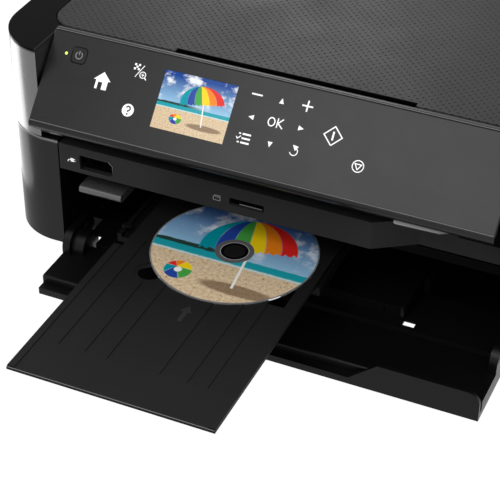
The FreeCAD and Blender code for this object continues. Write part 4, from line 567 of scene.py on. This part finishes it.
# %% [markdown]
# ## Rubber, metal, glass, foam and boards
# The inside is seen through the open front and when the scanner unit is lifted, so its pieces
# get the finishes of their trade: plated sheet steel with rolling lines, ground shafts, soft
# rubber, glass, felt and green circuit boards with their tracks.

# %% Inner finishes
def float_glass():
    """Clear glass with a faint green body and a few wiped smears in its gloss."""
    made, _, surface, at = shader("float_glass", Transmission_Weight=1.0, IOR=1.5,
                                     Base_Color=tone(236, 245, 240))
    wire(surface, Roughness=polish(surface, at, 0.0, 0.03))
    return made


def foam():
    """White foam: round cells as a soft relief and a faint shade."""
    made, tree, surface, at = shader("white_foam", Roughness=0.9)
    cells = plain(tree, "ShaderNodeTexVoronoi")
    tree.links.new(at["Object"], cells.inputs["Vector"])
    cells.inputs["Scale"].default_value = 900.0
    depth = Field(tree, cells.outputs["Distance"])
    wire(surface, Base_Color=over(tree, tone(222, 222, 218), tone(246, 246, 243), depth))
    relief(surface, depth, 0.0003)
    return made


def felt():
    """Ink felt: fibres as fine, rough noise."""
    made, tree, surface, at = shader("ink_felt", Roughness=0.95)
    fibres = noise(tree, at["Object"], 900.0, 5.0, 0.8)
    wire(surface, Base_Color=over(tree, tone(176, 176, 170), tone(232, 232, 226), fibres))
    relief(surface, fibres, 0.0006)
    return made


def circuit_board():
    """Green board: brick rows of tracks, lighter than the ground, and round solder pads."""
    made, tree, surface, at = shader("circuit_board", Roughness=0.35)
    tracks = plain(tree, "ShaderNodeTexBrick")
    tree.links.new(at["Object"], tracks.inputs["Vector"])
    tracks.inputs["Scale"].default_value = 60.0
    tracks.inputs["Mortar Size"].default_value = 0.03
    lines = Field(tree, tracks.outputs["Fac"])
    ground = over(tree, tone(10, 74, 44), tone(36, 120, 78), lines)
    pads = place_group(tree, DOTS, at["Object"], Row_Pitch=0.005, Share=0.14)
    wire(surface, Base_Color=over(tree, ground, tone(196, 190, 168), pads))
    relief(surface, lines + pads, 0.00004)
    return made


finish(plastic("soft_rubber", tone(24, 24, 24), 0.7, 0.8, 700.0, 0.00008), "rubber_feet", "carriage_belt",
       "feed_belts")
finish(plastic("roller_rubber", tone(54, 54, 55), 0.6, 0.7, 900.0, 0.00006), "exit_roller", "feed_roller",
       "pinch_rollers")
finish(plastic("tank_plastic", tone(40, 40, 43), 0.2, 0.3, 700.0, 0.00001), "ink_tanks")
finish(plastic("coated_steel", tone(14, 14, 15), 0.42, 0.52, 1500.0, 0.00002, shine=0.12), "chassis",
       "lever_pin", "panel_hinge_pins")
finish(metal("sheet_steel", tone(190, 190, 188), 0.32, 0.42, (0.02, 1.0, 1.0)), "carriage_motor",
       "feed_motor", "motor_pulley", "rear_cover_screws", "data_socket")
finish(metal("ground_steel", tone(205, 205, 207), 0.12, 0.2, (0.03, 1.0, 1.0)), "carriage_shaft",
       "scan_rod", "lid_hinge_pins", "scanner_hinge_pins")
finish(float_glass(), "scanner_glass")
finish(foam(), "lid_pad")
finish(felt(), "waste_ink_pad")
finish(circuit_board(), "panel_board", "main_board")

# %% [markdown]
# ## A beach picture
# The screen and the disc both carry a bright holiday picture. It is drawn as a rule on two
# coordinates, across and up, both 0 to 1: a sky that pales towards the horizon with noise
# clouds, a teal band of sea, rippled sand, and a striped parasol with a ball beside it. As a
# node group it serves both places with other framing.

# %% The picture as a node group
STRIPES = (tone(0, 150, 165), tone(38, 70, 160), tone(70, 165, 70), tone(250, 215, 20), tone(245, 135, 25),
           tone(225, 40, 35))


def striped(tree, under, across, mask):
    """Six stripes side by side where mask is 1: across runs 0..1 over the stripes."""
    bands = under
    count = len(STRIPES)
    for number, stripe in enumerate(STRIPES):
        inside = across.above(number / count, 0.02) * across.below((number + 1) / count, 0.02)
        bands = over(tree, bands, stripe, inside * mask)
    return bands


def beach_picture():
    """Layers from far to near: sky, clouds, far shore, sea, sand, shade, pole, parasol, ball."""
    tree, given, out = group_tree("beach_picture", {"Across": (NUMBER, 0.5), "Up": (NUMBER, 0.5)},
                                  {"Colour": COLOUR})
    x = Field(tree, given["Across"])
    y = Field(tree, given["Up"])
    place = plain(tree, "ShaderNodeCombineXYZ")
    tree.links.new(given["Across"], place.inputs[0])
    tree.links.new(given["Up"], place.inputs[1])
    spot = place.outputs[0]
    colour = over(tree, tone(150, 196, 228), tone(12, 66, 146), (y - 0.46) * 2.1)
    puffs = noise(tree, spot, 3.4, 6.0, 0.62)
    colour = over(tree, colour, tone(244, 247, 250), puffs.above(0.56, 0.12) * y.above(0.52, 0.2))
    shore = y.below(noise(tree, spot, 9.0, 3.0) * 0.06 + 0.46, 0.008) * x.below(0.55, 0.3)
    colour = over(tree, colour, tone(38, 66, 60), shore)
    ripple = noise(tree, spot, 30.0, 2.0) * 0.012
    colour = over(tree, colour, tone(28, 160, 172), (y + ripple).below(0.462, 0.006))
    colour = over(tree, colour, tone(206, 232, 232), (y + ripple).below(0.40, 0.012))
    grains = noise(tree, spot, 46.0, 5.0, 0.7)
    sand = over(tree, tone(186, 148, 104), tone(240, 222, 190), (grains - 0.5) * 2.2 + 0.55)
    sand = over(tree, sand, tone(132, 96, 62), grains.below(0.36, 0.06))
    colour = over(tree, colour, sand, (y + ripple).below(0.385, 0.01))
    shade = ((x - 0.70) / 0.24).made("POWER", 2.0) + ((y - 0.17) / 0.05).made("POWER", 2.0)
    colour = over(tree, colour, tone(112, 84, 62), shade.below(1.0, 0.5) * 0.75)
    pole = ((y - 0.2) * -0.12 + 0.66 - x).made("ABSOLUTE").below(0.008) * y.above(0.18) * y.below(0.8)
    colour = over(tree, colour, tone(246, 246, 240), pole)
    turned_x = (x - 0.60) * 0.97 + (y - 0.56) * 0.24
    turned_y = (y - 0.56) * 0.97 - (x - 0.60) * 0.24
    canopy = (turned_x / 0.30).made("POWER", 2.0) + (turned_y / 0.30).made("POWER", 2.0)
    scallop = (turned_x * 62.0).made("COSINE").made("ABSOLUTE") * 0.022
    mask = canopy.below(1.0, 0.03) * (turned_y + scallop).above(0.0, 0.008)
    lean = (turned_x / (turned_y * turned_y * -1.0 + 0.09).made("MAXIMUM", 0.0004).made("SQRT")) * 0.5 + 0.5
    colour = striped(tree, colour, lean, mask)
    ball = ((x - 0.30) / 0.085).made("POWER", 2.0) + ((y - 0.22) / 0.085).made("POWER", 2.0)
    colour = over(tree, colour, tone(250, 250, 246), ball.below(1.0, 0.05))
    around = (y - 0.245).made("ARCTAN2", x - 0.28) / (2 * math.pi) + 0.5
    colour = striped(tree, colour, around, ball.below(1.0, 0.05) * ball.above(0.08, 0.05))
    tree.links.new(colour, out["Colour"])
    return tree


PICTURE = beach_picture()
print("picture nodes:", len(PICTURE.nodes))

# %% [markdown]
# ## Surfaces from two parameters
# Most added pieces are thin sheets or rounded strips. They could be modelled by hand, but here
# each is a grid of two parameters turned into points by a formula, in whole arrays, so that its
# size and place stay readable.

# %% Grid helper
def grid_faces(rows, columns, round_rows=False, round_columns=False):
    """The four corners of each cell of a grid whose points are numbered row by row. A round
    direction joins its last line to its first."""
    i = np.arange(rows if round_rows else rows - 1)[:, None]
    j = np.arange(columns if round_columns else columns - 1)[None, :]
    ahead, beside = (i + 1) % rows, (j + 1) % columns
    cells = np.broadcast_arrays(i * columns + j, ahead * columns + j, ahead * columns + beside,
                                i * columns + beside)
    return np.stack(cells, axis=-1).reshape(-1, 4)


def dressed(made, body, material):
    """Give a new piece its material and let it ride on a body."""
    made.data.materials.append(material)
    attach(made, body)
    return made


def grid_piece(name, surface, body, material, rows, columns, closed=False):
    """A mesh on a grid of points; surface(u, v) gives their x, y, z in metres. u and v, 0 to 1, run
    over the rows and columns and become its UV map. closed joins the last row to the first."""
    across, up = np.meshgrid(np.linspace(0, 1, rows, endpoint=not closed), np.linspace(0, 1, columns),
                             indexing="ij")
    points = np.stack(np.broadcast_arrays(*surface(across, up)), axis=-1).reshape(-1, 3)
    made = mesh_object(name, points, grid_faces(rows, columns, closed))
    corner = face_corners(made.data)
    share = np.stack([(corner // columns) / (rows - 1), (corner % columns) / (columns - 1)], axis=-1)
    write_map(made.data, "grid", share)
    return dressed(made, body, material)


def face_corners(data):
    """The vertex that each corner of each face uses."""
    corner = np.zeros(len(data.loops), np.int32)
    data.loops.foreach_get("vertex_index", corner)
    return corner


def write_map(data, name, share):
    """A UV map with a pair of numbers for each corner of each face."""
    data.uv_layers.new(name=name).data.foreach_set("uv", share.astype(np.float32).ravel())


print("cells of a 3 by 4 grid, open and round:", len(grid_faces(3, 4)), len(grid_faces(3, 4, True, True)))

# %% [markdown]
# ## The panel's own plane
# Everything on the tilted control panel is laid out flat, in millimetres: x along the panel, s
# up its slope from the hinge line, and n outwards. One function lifts that sheet into place. The
# hinge line comes from the frame's own joint, so the prints stay on the panel. Turning each
# finished print would do as well, but then no size could be read off the sheet.

# %% From the panel's sheet to the printer
PANEL_TILT = math.radians(48)
PANEL_FACE = 5.0
JOINTS = {joint["name"]: joint for joint in frame["joints"]}
HINGE_LINE = np.array(JOINTS["panel_tilt"]["pos_m"])


def on_panel(x, s, n):
    """x along, s * cos - n * sin back, s * sin + n * cos up, from the hinge line."""
    back = s * math.cos(PANEL_TILT) - n * math.sin(PANEL_TILT)
    up = s * math.sin(PANEL_TILT) + n * math.cos(PANEL_TILT)
    return x * MM, HINGE_LINE[1] + back * MM, HINGE_LINE[2] + up * MM


print("hinge line at y, z:", HINGE_LINE[1:])

# %% [markdown]
# ## The lit screen
# The screen is a flat picture under the panel's clear cover. It could be a material of the CAD
# screen, but a sheet just over it brings a map of its own, so the picture fills it from edge to
# edge. The picture feeds both the colour and a little of its own light, because a screen glows.

# %% Screen picture
SCREEN_LEFT, SCREEN_WIDTH = -91.5, 54.86
SCREEN_TOP, SCREEN_HEIGHT = -8.0, 41.15
SCREEN_FACE = PANEL_FACE - 0.07


def picture_material(name, shift, map_name, glow, roughness, coat, shine):
    """The beach picture read through the piece's own map, shifted."""
    made, tree, surface, _ = shader(name, Roughness=roughness, Coat_Weight=coat,
                                    Specular_IOR_Level=shine, Emission_Strength=glow)
    own = plain(tree, "ShaderNodeUVMap", uv_map=map_name)
    across, up, _ = split(tree, own.outputs[0])
    placed = plain(tree, "ShaderNodeGroup", node_tree=PICTURE)
    feed(tree, placed.inputs["Across"], across + shift[0])
    feed(tree, placed.inputs["Up"], up + shift[1])
    wire(surface, Base_Color=placed.outputs[0], Emission_Color=placed.outputs[0])
    return made


def screen_sheet(u, v):
    """A flat rectangle: u across the screen, v up it."""
    return on_panel(SCREEN_LEFT + SCREEN_WIDTH * u, SCREEN_TOP - SCREEN_HEIGHT * (1 - v), SCREEN_FACE)


screen_print = picture_material("screen_picture", (0, 0), "grid", glow=0.3, roughness=0.12, coat=0.1,
                                shine=0.1)
grid_piece("screen_picture", screen_sheet, "control_panel", screen_print, 9, 7)
print("screen", SCREEN_WIDTH, "x", SCREEN_HEIGHT, "mm")

# %% [markdown]
# ## The disc
# A printable disc is clear plastic with a silver layer and a white lacquer that takes the ink.
# From the middle outwards it shows the tray's black hub, a clear ring with a raised stacking
# bead, a grey mirror band, the print and a bright bare edge. The CAD disc gets rings by its
# radius, and the print is its own thin sheet.

# %% Disc body
DISC_LOW, DISC_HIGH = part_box("disc")
DISC_X, DISC_Y = (DISC_LOW.x + DISC_HIGH.x) / 2, (DISC_LOW.y + DISC_HIGH.y) / 2
DISC_TOP = DISC_HIGH.z
HUB_OUTER, BEAD_OUTER = 9.9 * MM, 10.4 * MM
PRINT_INNER, PRINT_OUTER = 13.9 * MM, 59.0 * MM
LABEL_LIFT = 0.03 * MM


def disc_body():
    """Rings by distance from the disc's centre: black hub, pale bead, grey band, bright edge, under
    the fine wave of the disc's tracks."""
    made, tree, surface, at = shader("disc_body", Roughness=0.1, Coat_Weight=0.5)
    x, y, _ = split(tree, at["Object"])
    dx, dy = x - DISC_X, y - DISC_Y
    far = (dx * dx + dy * dy).made("SQRT")
    colour = tone(228, 229, 232)
    for limit, ring in ((PRINT_INNER, tone(104, 104, 106)), (BEAD_OUTER, tone(196, 196, 200)),
                        (HUB_OUTER, tone(12, 12, 12))):
        colour = over(tree, colour, ring, far.below(limit, 0.0002))
    wire(surface, Base_Color=colour, Metallic=far.above(PRINT_INNER, 0.0002) * 0.7)
    relief(surface, (far * 9000.0).made("SINE"), 0.000002)
    return made


finish(disc_body(), "disc")
print("disc at", round(DISC_X, 4), round(DISC_Y, 4), "top", round(DISC_TOP, 4))

# %% Disc label
def label_sheet(u, v):
    """Rings from the outer to the inner edge of the print: u turns, v goes inwards."""
    turn = 2 * math.pi * u
    far = PRINT_OUTER - (PRINT_OUTER - PRINT_INNER) * v
    return DISC_X + far * np.cos(turn), DISC_Y + far * np.sin(turn), DISC_TOP + LABEL_LIFT


def flat_map(piece, centre, half, name):
    """A UV map that reads x and y straight down: 0 to 1 over the square of that half width."""
    points = np.zeros(len(piece.data.vertices) * 3, np.float32)
    piece.data.vertices.foreach_get("co", points)
    flat = points.reshape(-1, 3)[face_corners(piece.data), :2] - np.array(centre)
    write_map(piece.data, name, flat / (2 * half) + 0.5)


# The disc's print is ink, not a screen: its small glow is painted light.
label_print = picture_material("disc_label", (0.03, 0.02), "flat", glow=0.05, roughness=0.34, coat=0.05,
                               shine=0.15)
label = grid_piece("disc_label", label_sheet, "disc_tray", label_print, 128, 6, closed=True)
flat_map(label, (DISC_X, DISC_Y), PRINT_OUTER, "flat")
label.data.uv_layers.active = label.data.uv_layers["flat"]
print("label faces:", len(label.data.polygons))

# %% [markdown]
# ## Flat signs
# The printed signs are common symbols: a house, a question mark, arrows. A picture file could
# hold them, but drawn as shapes they stay sharp from near by. Each is laid out in millimetres
# from a few of them: a patch inside a few corners, a stroke of one width along a path, and an
# arc. All shapes of a sign join into one thin mesh, lifted on to its surface by the function
# that places that surface.

# %% Sign shapes
def patch(*corners):
    """A filled outline: its corners, anticlockwise."""
    return np.array(corners, float), [list(range(len(corners)))]


def stroke(path, width):
    """A band of one width: each point of the path is pushed half the width to either side, along
    the mean of the normals of the two runs that meet there."""
    path = np.array(path, float)
    runs = np.diff(path, axis=0)
    runs /= np.linalg.norm(runs, axis=1)[:, None]
    sides = np.stack([-runs[:, 1], runs[:, 0]], axis=1)
    before, after = np.vstack([sides[:1], sides]), np.vstack([sides, sides[-1:]])
    mean = (before + after) / (1 + np.sum(before * after, axis=1))[:, None]
    count = len(path)
    faces = [[i, i + 1, count + i + 1, count + i] for i in range(count - 1)]
    return np.vstack([path - mean * width / 2, path + mean * width / 2]), faces


def arc(x, y, radius_x, radius_y, start, end, steps=32):
    """Points of an ellipse's arc between two angles in degrees."""
    turn = np.radians(np.linspace(start, end, steps))
    return np.stack([x + radius_x * np.cos(turn), y + radius_y * np.sin(turn)], axis=1)


def circle(x, y, radius, steps=40):
    """The corners of a filled circle."""
    return patch(*arc(x, y, radius, radius, 0, 360, steps + 1)[:-1])


def box_patch(left, low, right, high):
    """A filled rectangle."""
    return patch((left, low), (right, low), (right, high), (left, high))


def sign(name, shapes, centre, lift, body, material):
    """One mesh from the shapes: each point is moved to the centre and then placed by lift."""
    points, faces = [], []
    for shape_points, shape_faces in shapes:
        start = sum(len(part) for part in points)
        points.append(shape_points + np.array(centre))
        faces += [[start + corner for corner in face] for face in shape_faces]
    flat = np.vstack(points)
    placed = np.stack(np.broadcast_arrays(*lift(flat[:, 0], flat[:, 1])), axis=-1)
    return dressed(mesh_object(name, placed, faces, False), body, material)


def printed(name, colour, glow):
    """Printed ink that may be lit from behind: a faint screen grain in the colour, and a little
    light of its own."""
    made, tree, surface, at = shader(name, Roughness=0.45, Emission_Strength=glow)
    grain = place_group(tree, GRAIN, at["Object"], Scale=2600.0)
    darker = tuple(v * 0.86 for v in colour[:3]) + (1.0,)
    shade = over(tree, darker, colour, grain)
    wire(surface, Base_Color=shade, Emission_Color=shade)
    relief(surface, grain, 0.000004)
    return made


sign_white = printed("sign_white", tone(250, 250, 250), 0.45)
sign_dark = printed("sign_dark", tone(30, 30, 31), 0.0)
sign_grey = printed("sign_grey", tone(176, 176, 176), 0.05)
print("inks:", sign_white.name, sign_dark.name, sign_grey.name)

# %% [markdown]
# ## Signs of the control panel
# The touch keys have no caps: each is a sign lit from behind the panel's clear face. They sit on
# a loose grid round the screen, so each has its centre and a short list of shapes.

# %% Panel signs
INK = 0.03
PEN = 0.85
TILE = 1.5


def panel_print(height):
    """The function that lifts a sign on to the panel's sheet, at a height in millimetres."""
    return lambda x, s: on_panel(x, s, height)


def arrow_head(turn, length=3.9, half=1.75):
    """A triangle that points along an angle in degrees."""
    c, d = math.cos(math.radians(turn)), math.sin(math.radians(turn))
    corners = [(length / 2, 0), (-length / 2, half), (-length / 2, -half)]
    return patch(*[(c * x - d * y, d * x + c * y) for x, y in corners])


house = [patch((-4.6, -6), (-2.7, -6), (-2.7, -0.9), (0.6, -0.9), (0.6, -6), (4.6, -6), (4.6, 0.4),
               (6.6, 0.4), (0, 6.6), (-6.6, 0.4), (-4.6, 0.4))]
tiles = [box_patch(-5.2 + TILE * column, 0.6 + TILE * row, -3.7 + TILE * column, 2.1 + TILE * row)
         for column in range(3) for row in range(3) if (column + row) % 2 == 0]
zoom_glass = [stroke(arc(2.7, -2.1, 2.2, 2.2, 0, 360), 0.6), stroke([(4.3, -3.6), (6.0, -5.1)], 0.8),
              stroke([(1.5, -2.1), (3.9, -2.1)], 0.5), stroke([(2.7, -3.3), (2.7, -0.9)], 0.5)]
slash = [stroke([(2.3, 4.6), (-2.7, -4.4)], 0.6)]
tick_list = [box_patch(-1.6, row - 0.62, 4.6, row + 0.62) for row in (-3.0, 0.0, 3.0)]
tick_list += [box_patch(-4.2, row - 0.5, -2.7, row + 0.5) for row in (-3.0, 3.0)]
tick_list += [stroke([(-5.6, 0.5), (-4.5, -0.8), (-2.3, 1.4)], 0.7)]
turn_back = [stroke(arc(0.2, -0.8, 2.7, 2.7, -160, 62), PEN * 0.8)]
turn_back += [patch((-1.5, 3.6), (0.9, -0.3), (2.9, 3.0))]
diamond = [stroke([(0.01, -6.5), (6.5, 0), (0, 6.5), (-6.5, 0), (-0.01, -6.5)], PEN),
           stroke([(0, -3.0), (0, 3.0)], 1.3)]
letter_o = stroke(arc(-2.9, 0, 2.35, 2.85, 0, 360), PEN)
letter_k = [stroke([(1.4, -3.3), (1.4, 3.3)], PEN), stroke([(5.2, 3.3), (1.9, -0.1), (5.6, -3.3)], PEN)]
stop_sign = [stroke(arc(0, 0, 3.9, 3.9, 0, 360), 0.7),
             stroke([(0, -2.4), (2.3, 1.4), (-2.3, 1.4), (0, -2.4)], 0.7)]
PANEL_SIGNS = {
    "home_sign": (house, (-135.8, -26.4)),
    "view_sign": (tiles + slash + zoom_glass, (-110.0, -13.7)),
    "help_sign": ([circle(0, 0, 4.5)], (-110.7, -41.9)),
    "minus_sign": ([stroke([(-3.9, 0), (3.9, 0)], 1.1)], (-22.1, -10.6)),
    "plus_sign": ([stroke([(-3.9, 0), (3.9, 0)], 1.1), stroke([(0, -3.9), (0, 3.9)], 1.1)], (14.7, -10.5)),
    "up_sign": ([arrow_head(90)], (-3.8, -11.0)),
    "left_sign": ([arrow_head(180)], (-22.0, -26.4)),
    "right_sign": ([arrow_head(0)], (14.5, -26.1)),
    "down_sign": ([arrow_head(-90)], (-3.8, -41.6)),
    "accept_sign": ([letter_o, *letter_k], (-4.0, -26.3)),
    "settings_sign": (tick_list, (-22.8, -41.8)),
    "back_sign": (turn_back, (13.7, -41.5)),
    "start_sign": (diamond, (37.5, -26.0)),
    "stop_sign": (stop_sign, (59.7, -41.7)),
}
for label, (shapes, centre) in PANEL_SIGNS.items():
    sign(label, shapes, centre, panel_print(PANEL_FACE + INK), "control_panel", sign_white)
question = [stroke(np.vstack([arc(0, 1.2, 1.5, 1.5, 165, -60, 16), [(0.05, -0.55), (0.05, -1.3)]]), 1.1),
            circle(0.05, -2.7, 0.7, 16)]
sign("help_mark", question, (-110.7, -41.9), panel_print(PANEL_FACE + 2 * INK), "control_panel", sign_dark)
print("panel signs:", len(PANEL_SIGNS))

# %% [markdown]
# ## Beads and rounded edges
# Moulded edges are never sharp, and on black plastic their small rounds are what is seen of
# them: a thin line of light. Where the CAD edge is square, a bead with a round profile is carried
# along it, a fraction of a millimetre proud, and the bead is pale grey, so its line of light is a
# painted highlight; a fillet in the CAD would give the line from the lamps, with many more faces.
# The panel's upper edge is a rounder nose that turns about the hinge line, so that the panel can
# tilt behind it, and its lower edge has a round foot.

# %% Beads
BEAD_SIDES = 8


def bead(name, path, radius, body, material, closed=False):
    """A circle of a radius in millimetres carried along the points of a path: at each point the
    circle stands square to the mean direction of the runs that meet there."""
    path = np.array(path, float)
    runs = np.roll(path, -1, axis=0) - path if closed else np.diff(path, axis=0)
    runs /= np.linalg.norm(runs, axis=1)[:, None]
    before = np.roll(runs, 1, axis=0) if closed else np.vstack([runs[:1], runs])
    after = runs if closed else np.vstack([runs, runs[-1:]])
    along = before + after
    along /= np.linalg.norm(along, axis=1)[:, None]
    helper = np.where(np.abs(along[:, 2:3]) < 0.9, [[0, 0, 1.0]], [[1.0, 0, 0]])
    first = np.cross(along, helper)
    first /= np.linalg.norm(first, axis=1)[:, None]
    second = np.cross(first, along)
    turn = np.linspace(0, 2 * math.pi, BEAD_SIDES, endpoint=False)[:, None]
    ring = np.cos(turn) * first[:, None] + np.sin(turn) * second[:, None]
    points = (path[:, None] + ring * radius * MM).reshape(-1, 3)
    faces = grid_faces(len(path), BEAD_SIDES, closed, True)
    return dressed(mesh_object(name, points, faces), body, material)


# Two pale greys for the beads: their colour is a painted highlight, one brighter and one dimmer.
highlight_grey = plastic("highlight_grey", tone(112, 112, 113), 0.3, 0.4, 900.0, 0.00001, shine=0.5)
dim_highlight_grey = plastic("dim_highlight_grey", tone(58, 58, 59), 0.3, 0.4, 900.0, 0.00001, shine=0.4)
print("edge finishes:", highlight_grey.name, dim_highlight_grey.name)

# %% The panel's nose, foot and lines
PANEL_LEFT, PANEL_RIGHT = -182.4, 160.2


def panel_round(centre_s, centre_n, radius, start, end, inset):
    """A part of a tube along the panel: u along it, v turns about its centre between two angles."""
    def surface(u, v):
        turn = np.radians(start + (end - start) * v)
        return on_panel(PANEL_LEFT + inset + (PANEL_RIGHT - PANEL_LEFT - 2 * inset) * u,
                        centre_s + radius * np.cos(turn), centre_n + radius * np.sin(turn))
    return surface


grid_piece("panel_nose", panel_round(0, 0, 5.55, 64, 2, 0.6), "control_panel", panel_skin, 3, 12)
# Thin beads in the highlight greys paint the lines of light along the panel's edges.
PANEL_LINES = {
    "panel_top_line": (2.75, 4.72, 0.3, highlight_grey),
    "panel_nose_line": (5.15, 1.9, 0.2, dim_highlight_grey),
    "panel_low_line": (-64.6, 4.75, 0.34, highlight_grey),
    "panel_lip_line": (-67.6, 3.2, 0.3, dim_highlight_grey),
}
for label, (s, n, radius, material) in PANEL_LINES.items():
    ends = [on_panel(x, s, n) for x in (PANEL_LEFT + 1, PANEL_RIGHT - 1)]
    bead(label, ends, radius, "control_panel", material)
grid_piece("panel_foot", panel_round(-64.9, 0.7, 4.2, 180, 90, 0.4), "control_panel", panel_skin, 3, 10)
print("lines on the panel:", len(PANEL_LINES))

# %% [markdown]
# ## Small prints and lines on the case
# A plug symbol stands beside the memory stick's opening and a card outline beside the card slot,
# a power symbol is lit on its key, and the disc tray carries a faint arrow that says which way
# it goes in. They are drawn like the panel's signs; the plug and the card outline glow a little,
# which is painted light. The opening's rim and the tray's front and right edges carry pale beads
# again: painted highlights along the edges.

# %% Signs of the case
FASCIA_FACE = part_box("front_fascia")[0].y / MM
KEY_FACE = PANEL_FACE + 0.4


def fascia_print(x, z):
    """A point of the fascia's front face, lifted by the ink."""
    return x * MM, (FASCIA_FACE - INK) * MM, z * MM


sign_key = printed("sign_key", tone(150, 150, 151), 0.12)
finish(printed("led_green", tone(206, 232, 96), 0.9), "status_light")
power = [stroke(arc(0, 0, 2.5, 2.5, 122, 418), 0.62), stroke([(0, 0.3), (0, 3.3)], 0.62)]
plug = [box_patch(-0.9, -1.5, 1.6, 1.5), stroke([(-0.9, 0), (-2.0, 0), (-2.9, -0.8), (-3.2, -2.0)], 0.6)]
plug += [stroke([(1.6, z), (3.0, z)], 0.5) for z in (0.8, -0.8)]
card = [stroke([(-2.6, -2.0), (2.6, -2.0), (2.6, 2.0), (-1.2, 2.0), (-2.6, 0.6), (-2.6, -2.0)], 0.4)]
card += [stroke([(x, 1.3), (x, 0.3)], 0.4) for x in (-0.6, 0.5, 1.6)]
sign("power_sign", power, (-158.3, -12.7), panel_print(KEY_FACE + INK), "power_button", sign_key)
# The plug and the card outline are printed on the fascia, not lit from behind: the glow of their inks is
# painted light.
sign("stick_sign", plug, (-159.4, 101.3), fascia_print, "printer_body", sign_white)
sign("card_sign", card, (-44.0, 101.2), fascia_print, "printer_body", sign_grey)
print("fascia face at", round(FASCIA_FACE, 2))

# %% Rim of the memory stick's opening, and card contacts
STICK_LEFT, STICK_RIGHT = -153.0, -126.0
STICK_LOW, STICK_HIGH = 94.6, 107.2
STICK_CLIP = 3.0
CONTACTS_LEFT, CONTACTS_WIDTH = -27.0, 17.0
CONTACTS_LOW, CONTACTS_HEIGHT, CONTACTS_DEPTH = 99.1, 0.9, 1.4


def contact_strip(u, v):
    """A flat upright strip behind the card slot: u across, v up."""
    return ((CONTACTS_LEFT + CONTACTS_WIDTH * u) * MM, (FASCIA_FACE + CONTACTS_DEPTH) * MM,
            (CONTACTS_LOW + CONTACTS_HEIGHT * v) * MM)


near_right, far_right = STICK_RIGHT - STICK_CLIP, STICK_RIGHT
rim = [(STICK_LEFT, STICK_LOW), (near_right, STICK_LOW), (far_right, STICK_LOW + STICK_CLIP),
       (far_right, STICK_HIGH - STICK_CLIP), (near_right, STICK_HIGH), (STICK_LEFT, STICK_HIGH)]
whole_rim = MM * np.array([(x, FASCIA_FACE + 0.1, z) for x, z in rim])
right_rim = MM * np.array([(x, FASCIA_FACE - 0.1, z) for x, z in rim[1:5]])
# Pale beads round the opening paint the highlight on its rim, brighter on the right side.
bead("usb_rim", whole_rim, 0.22, "printer_body", dim_highlight_grey, closed=True)
bead("usb_rim_highlight", right_rim, 0.34, "printer_body", highlight_grey)
# The contact strip behind the card slot takes the same pale grey.
grid_piece("card_contacts", contact_strip, "printer_body", highlight_grey, 3, 2)
print("rim", STICK_RIGHT - STICK_LEFT, "x", round(STICK_HIGH - STICK_LOW, 1), "mm")

# %% Arrow and edge highlights of the disc tray
TRAY_LOW, TRAY_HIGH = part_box("disc_tray")
TRAY_LEFT, TRAY_RIGHT, TRAY_FRONT = TRAY_LOW.x / MM, TRAY_HIGH.x / MM, TRAY_LOW.y / MM
TRAY_TOP = 65.0
HIGHLIGHT_END = -110.0


def tray_print(x, y):
    """A point of the disc tray's top, lifted by the ink."""
    return x * MM, y * MM, (TRAY_TOP + INK) * MM


sign_tray = printed("sign_tray", tone(8, 8, 8), 0.0)
arrow = [patch((-1.5, -9), (1.5, -9), (1.5, 1.5), (4.2, 1.5), (0, 9), (-4.2, 1.5), (-1.5, 1.5))]
sign("tray_arrow", arrow, (-28.0, -187.3), tray_print, "disc_tray", sign_tray)
front_ends = [(x, TRAY_FRONT + 0.25, TRAY_TOP - 0.25) for x in (TRAY_LEFT + 0.3, TRAY_RIGHT - 0.3)]
right_ends = [(TRAY_RIGHT - 0.25, y, TRAY_TOP + 0.2) for y in (TRAY_FRONT + 1.5, HIGHLIGHT_END)]
# Pale beads along the tray's front and right edges paint their highlights.
bead("tray_front_line", MM * np.array(front_ends), 0.28, "disc_tray", highlight_grey)
bead("tray_right_line", MM * np.array(right_ends), 0.25, "disc_tray", dim_highlight_grey)
print("tray front edge at", round(TRAY_FRONT, 2), "and right edge at", round(TRAY_RIGHT, 2))
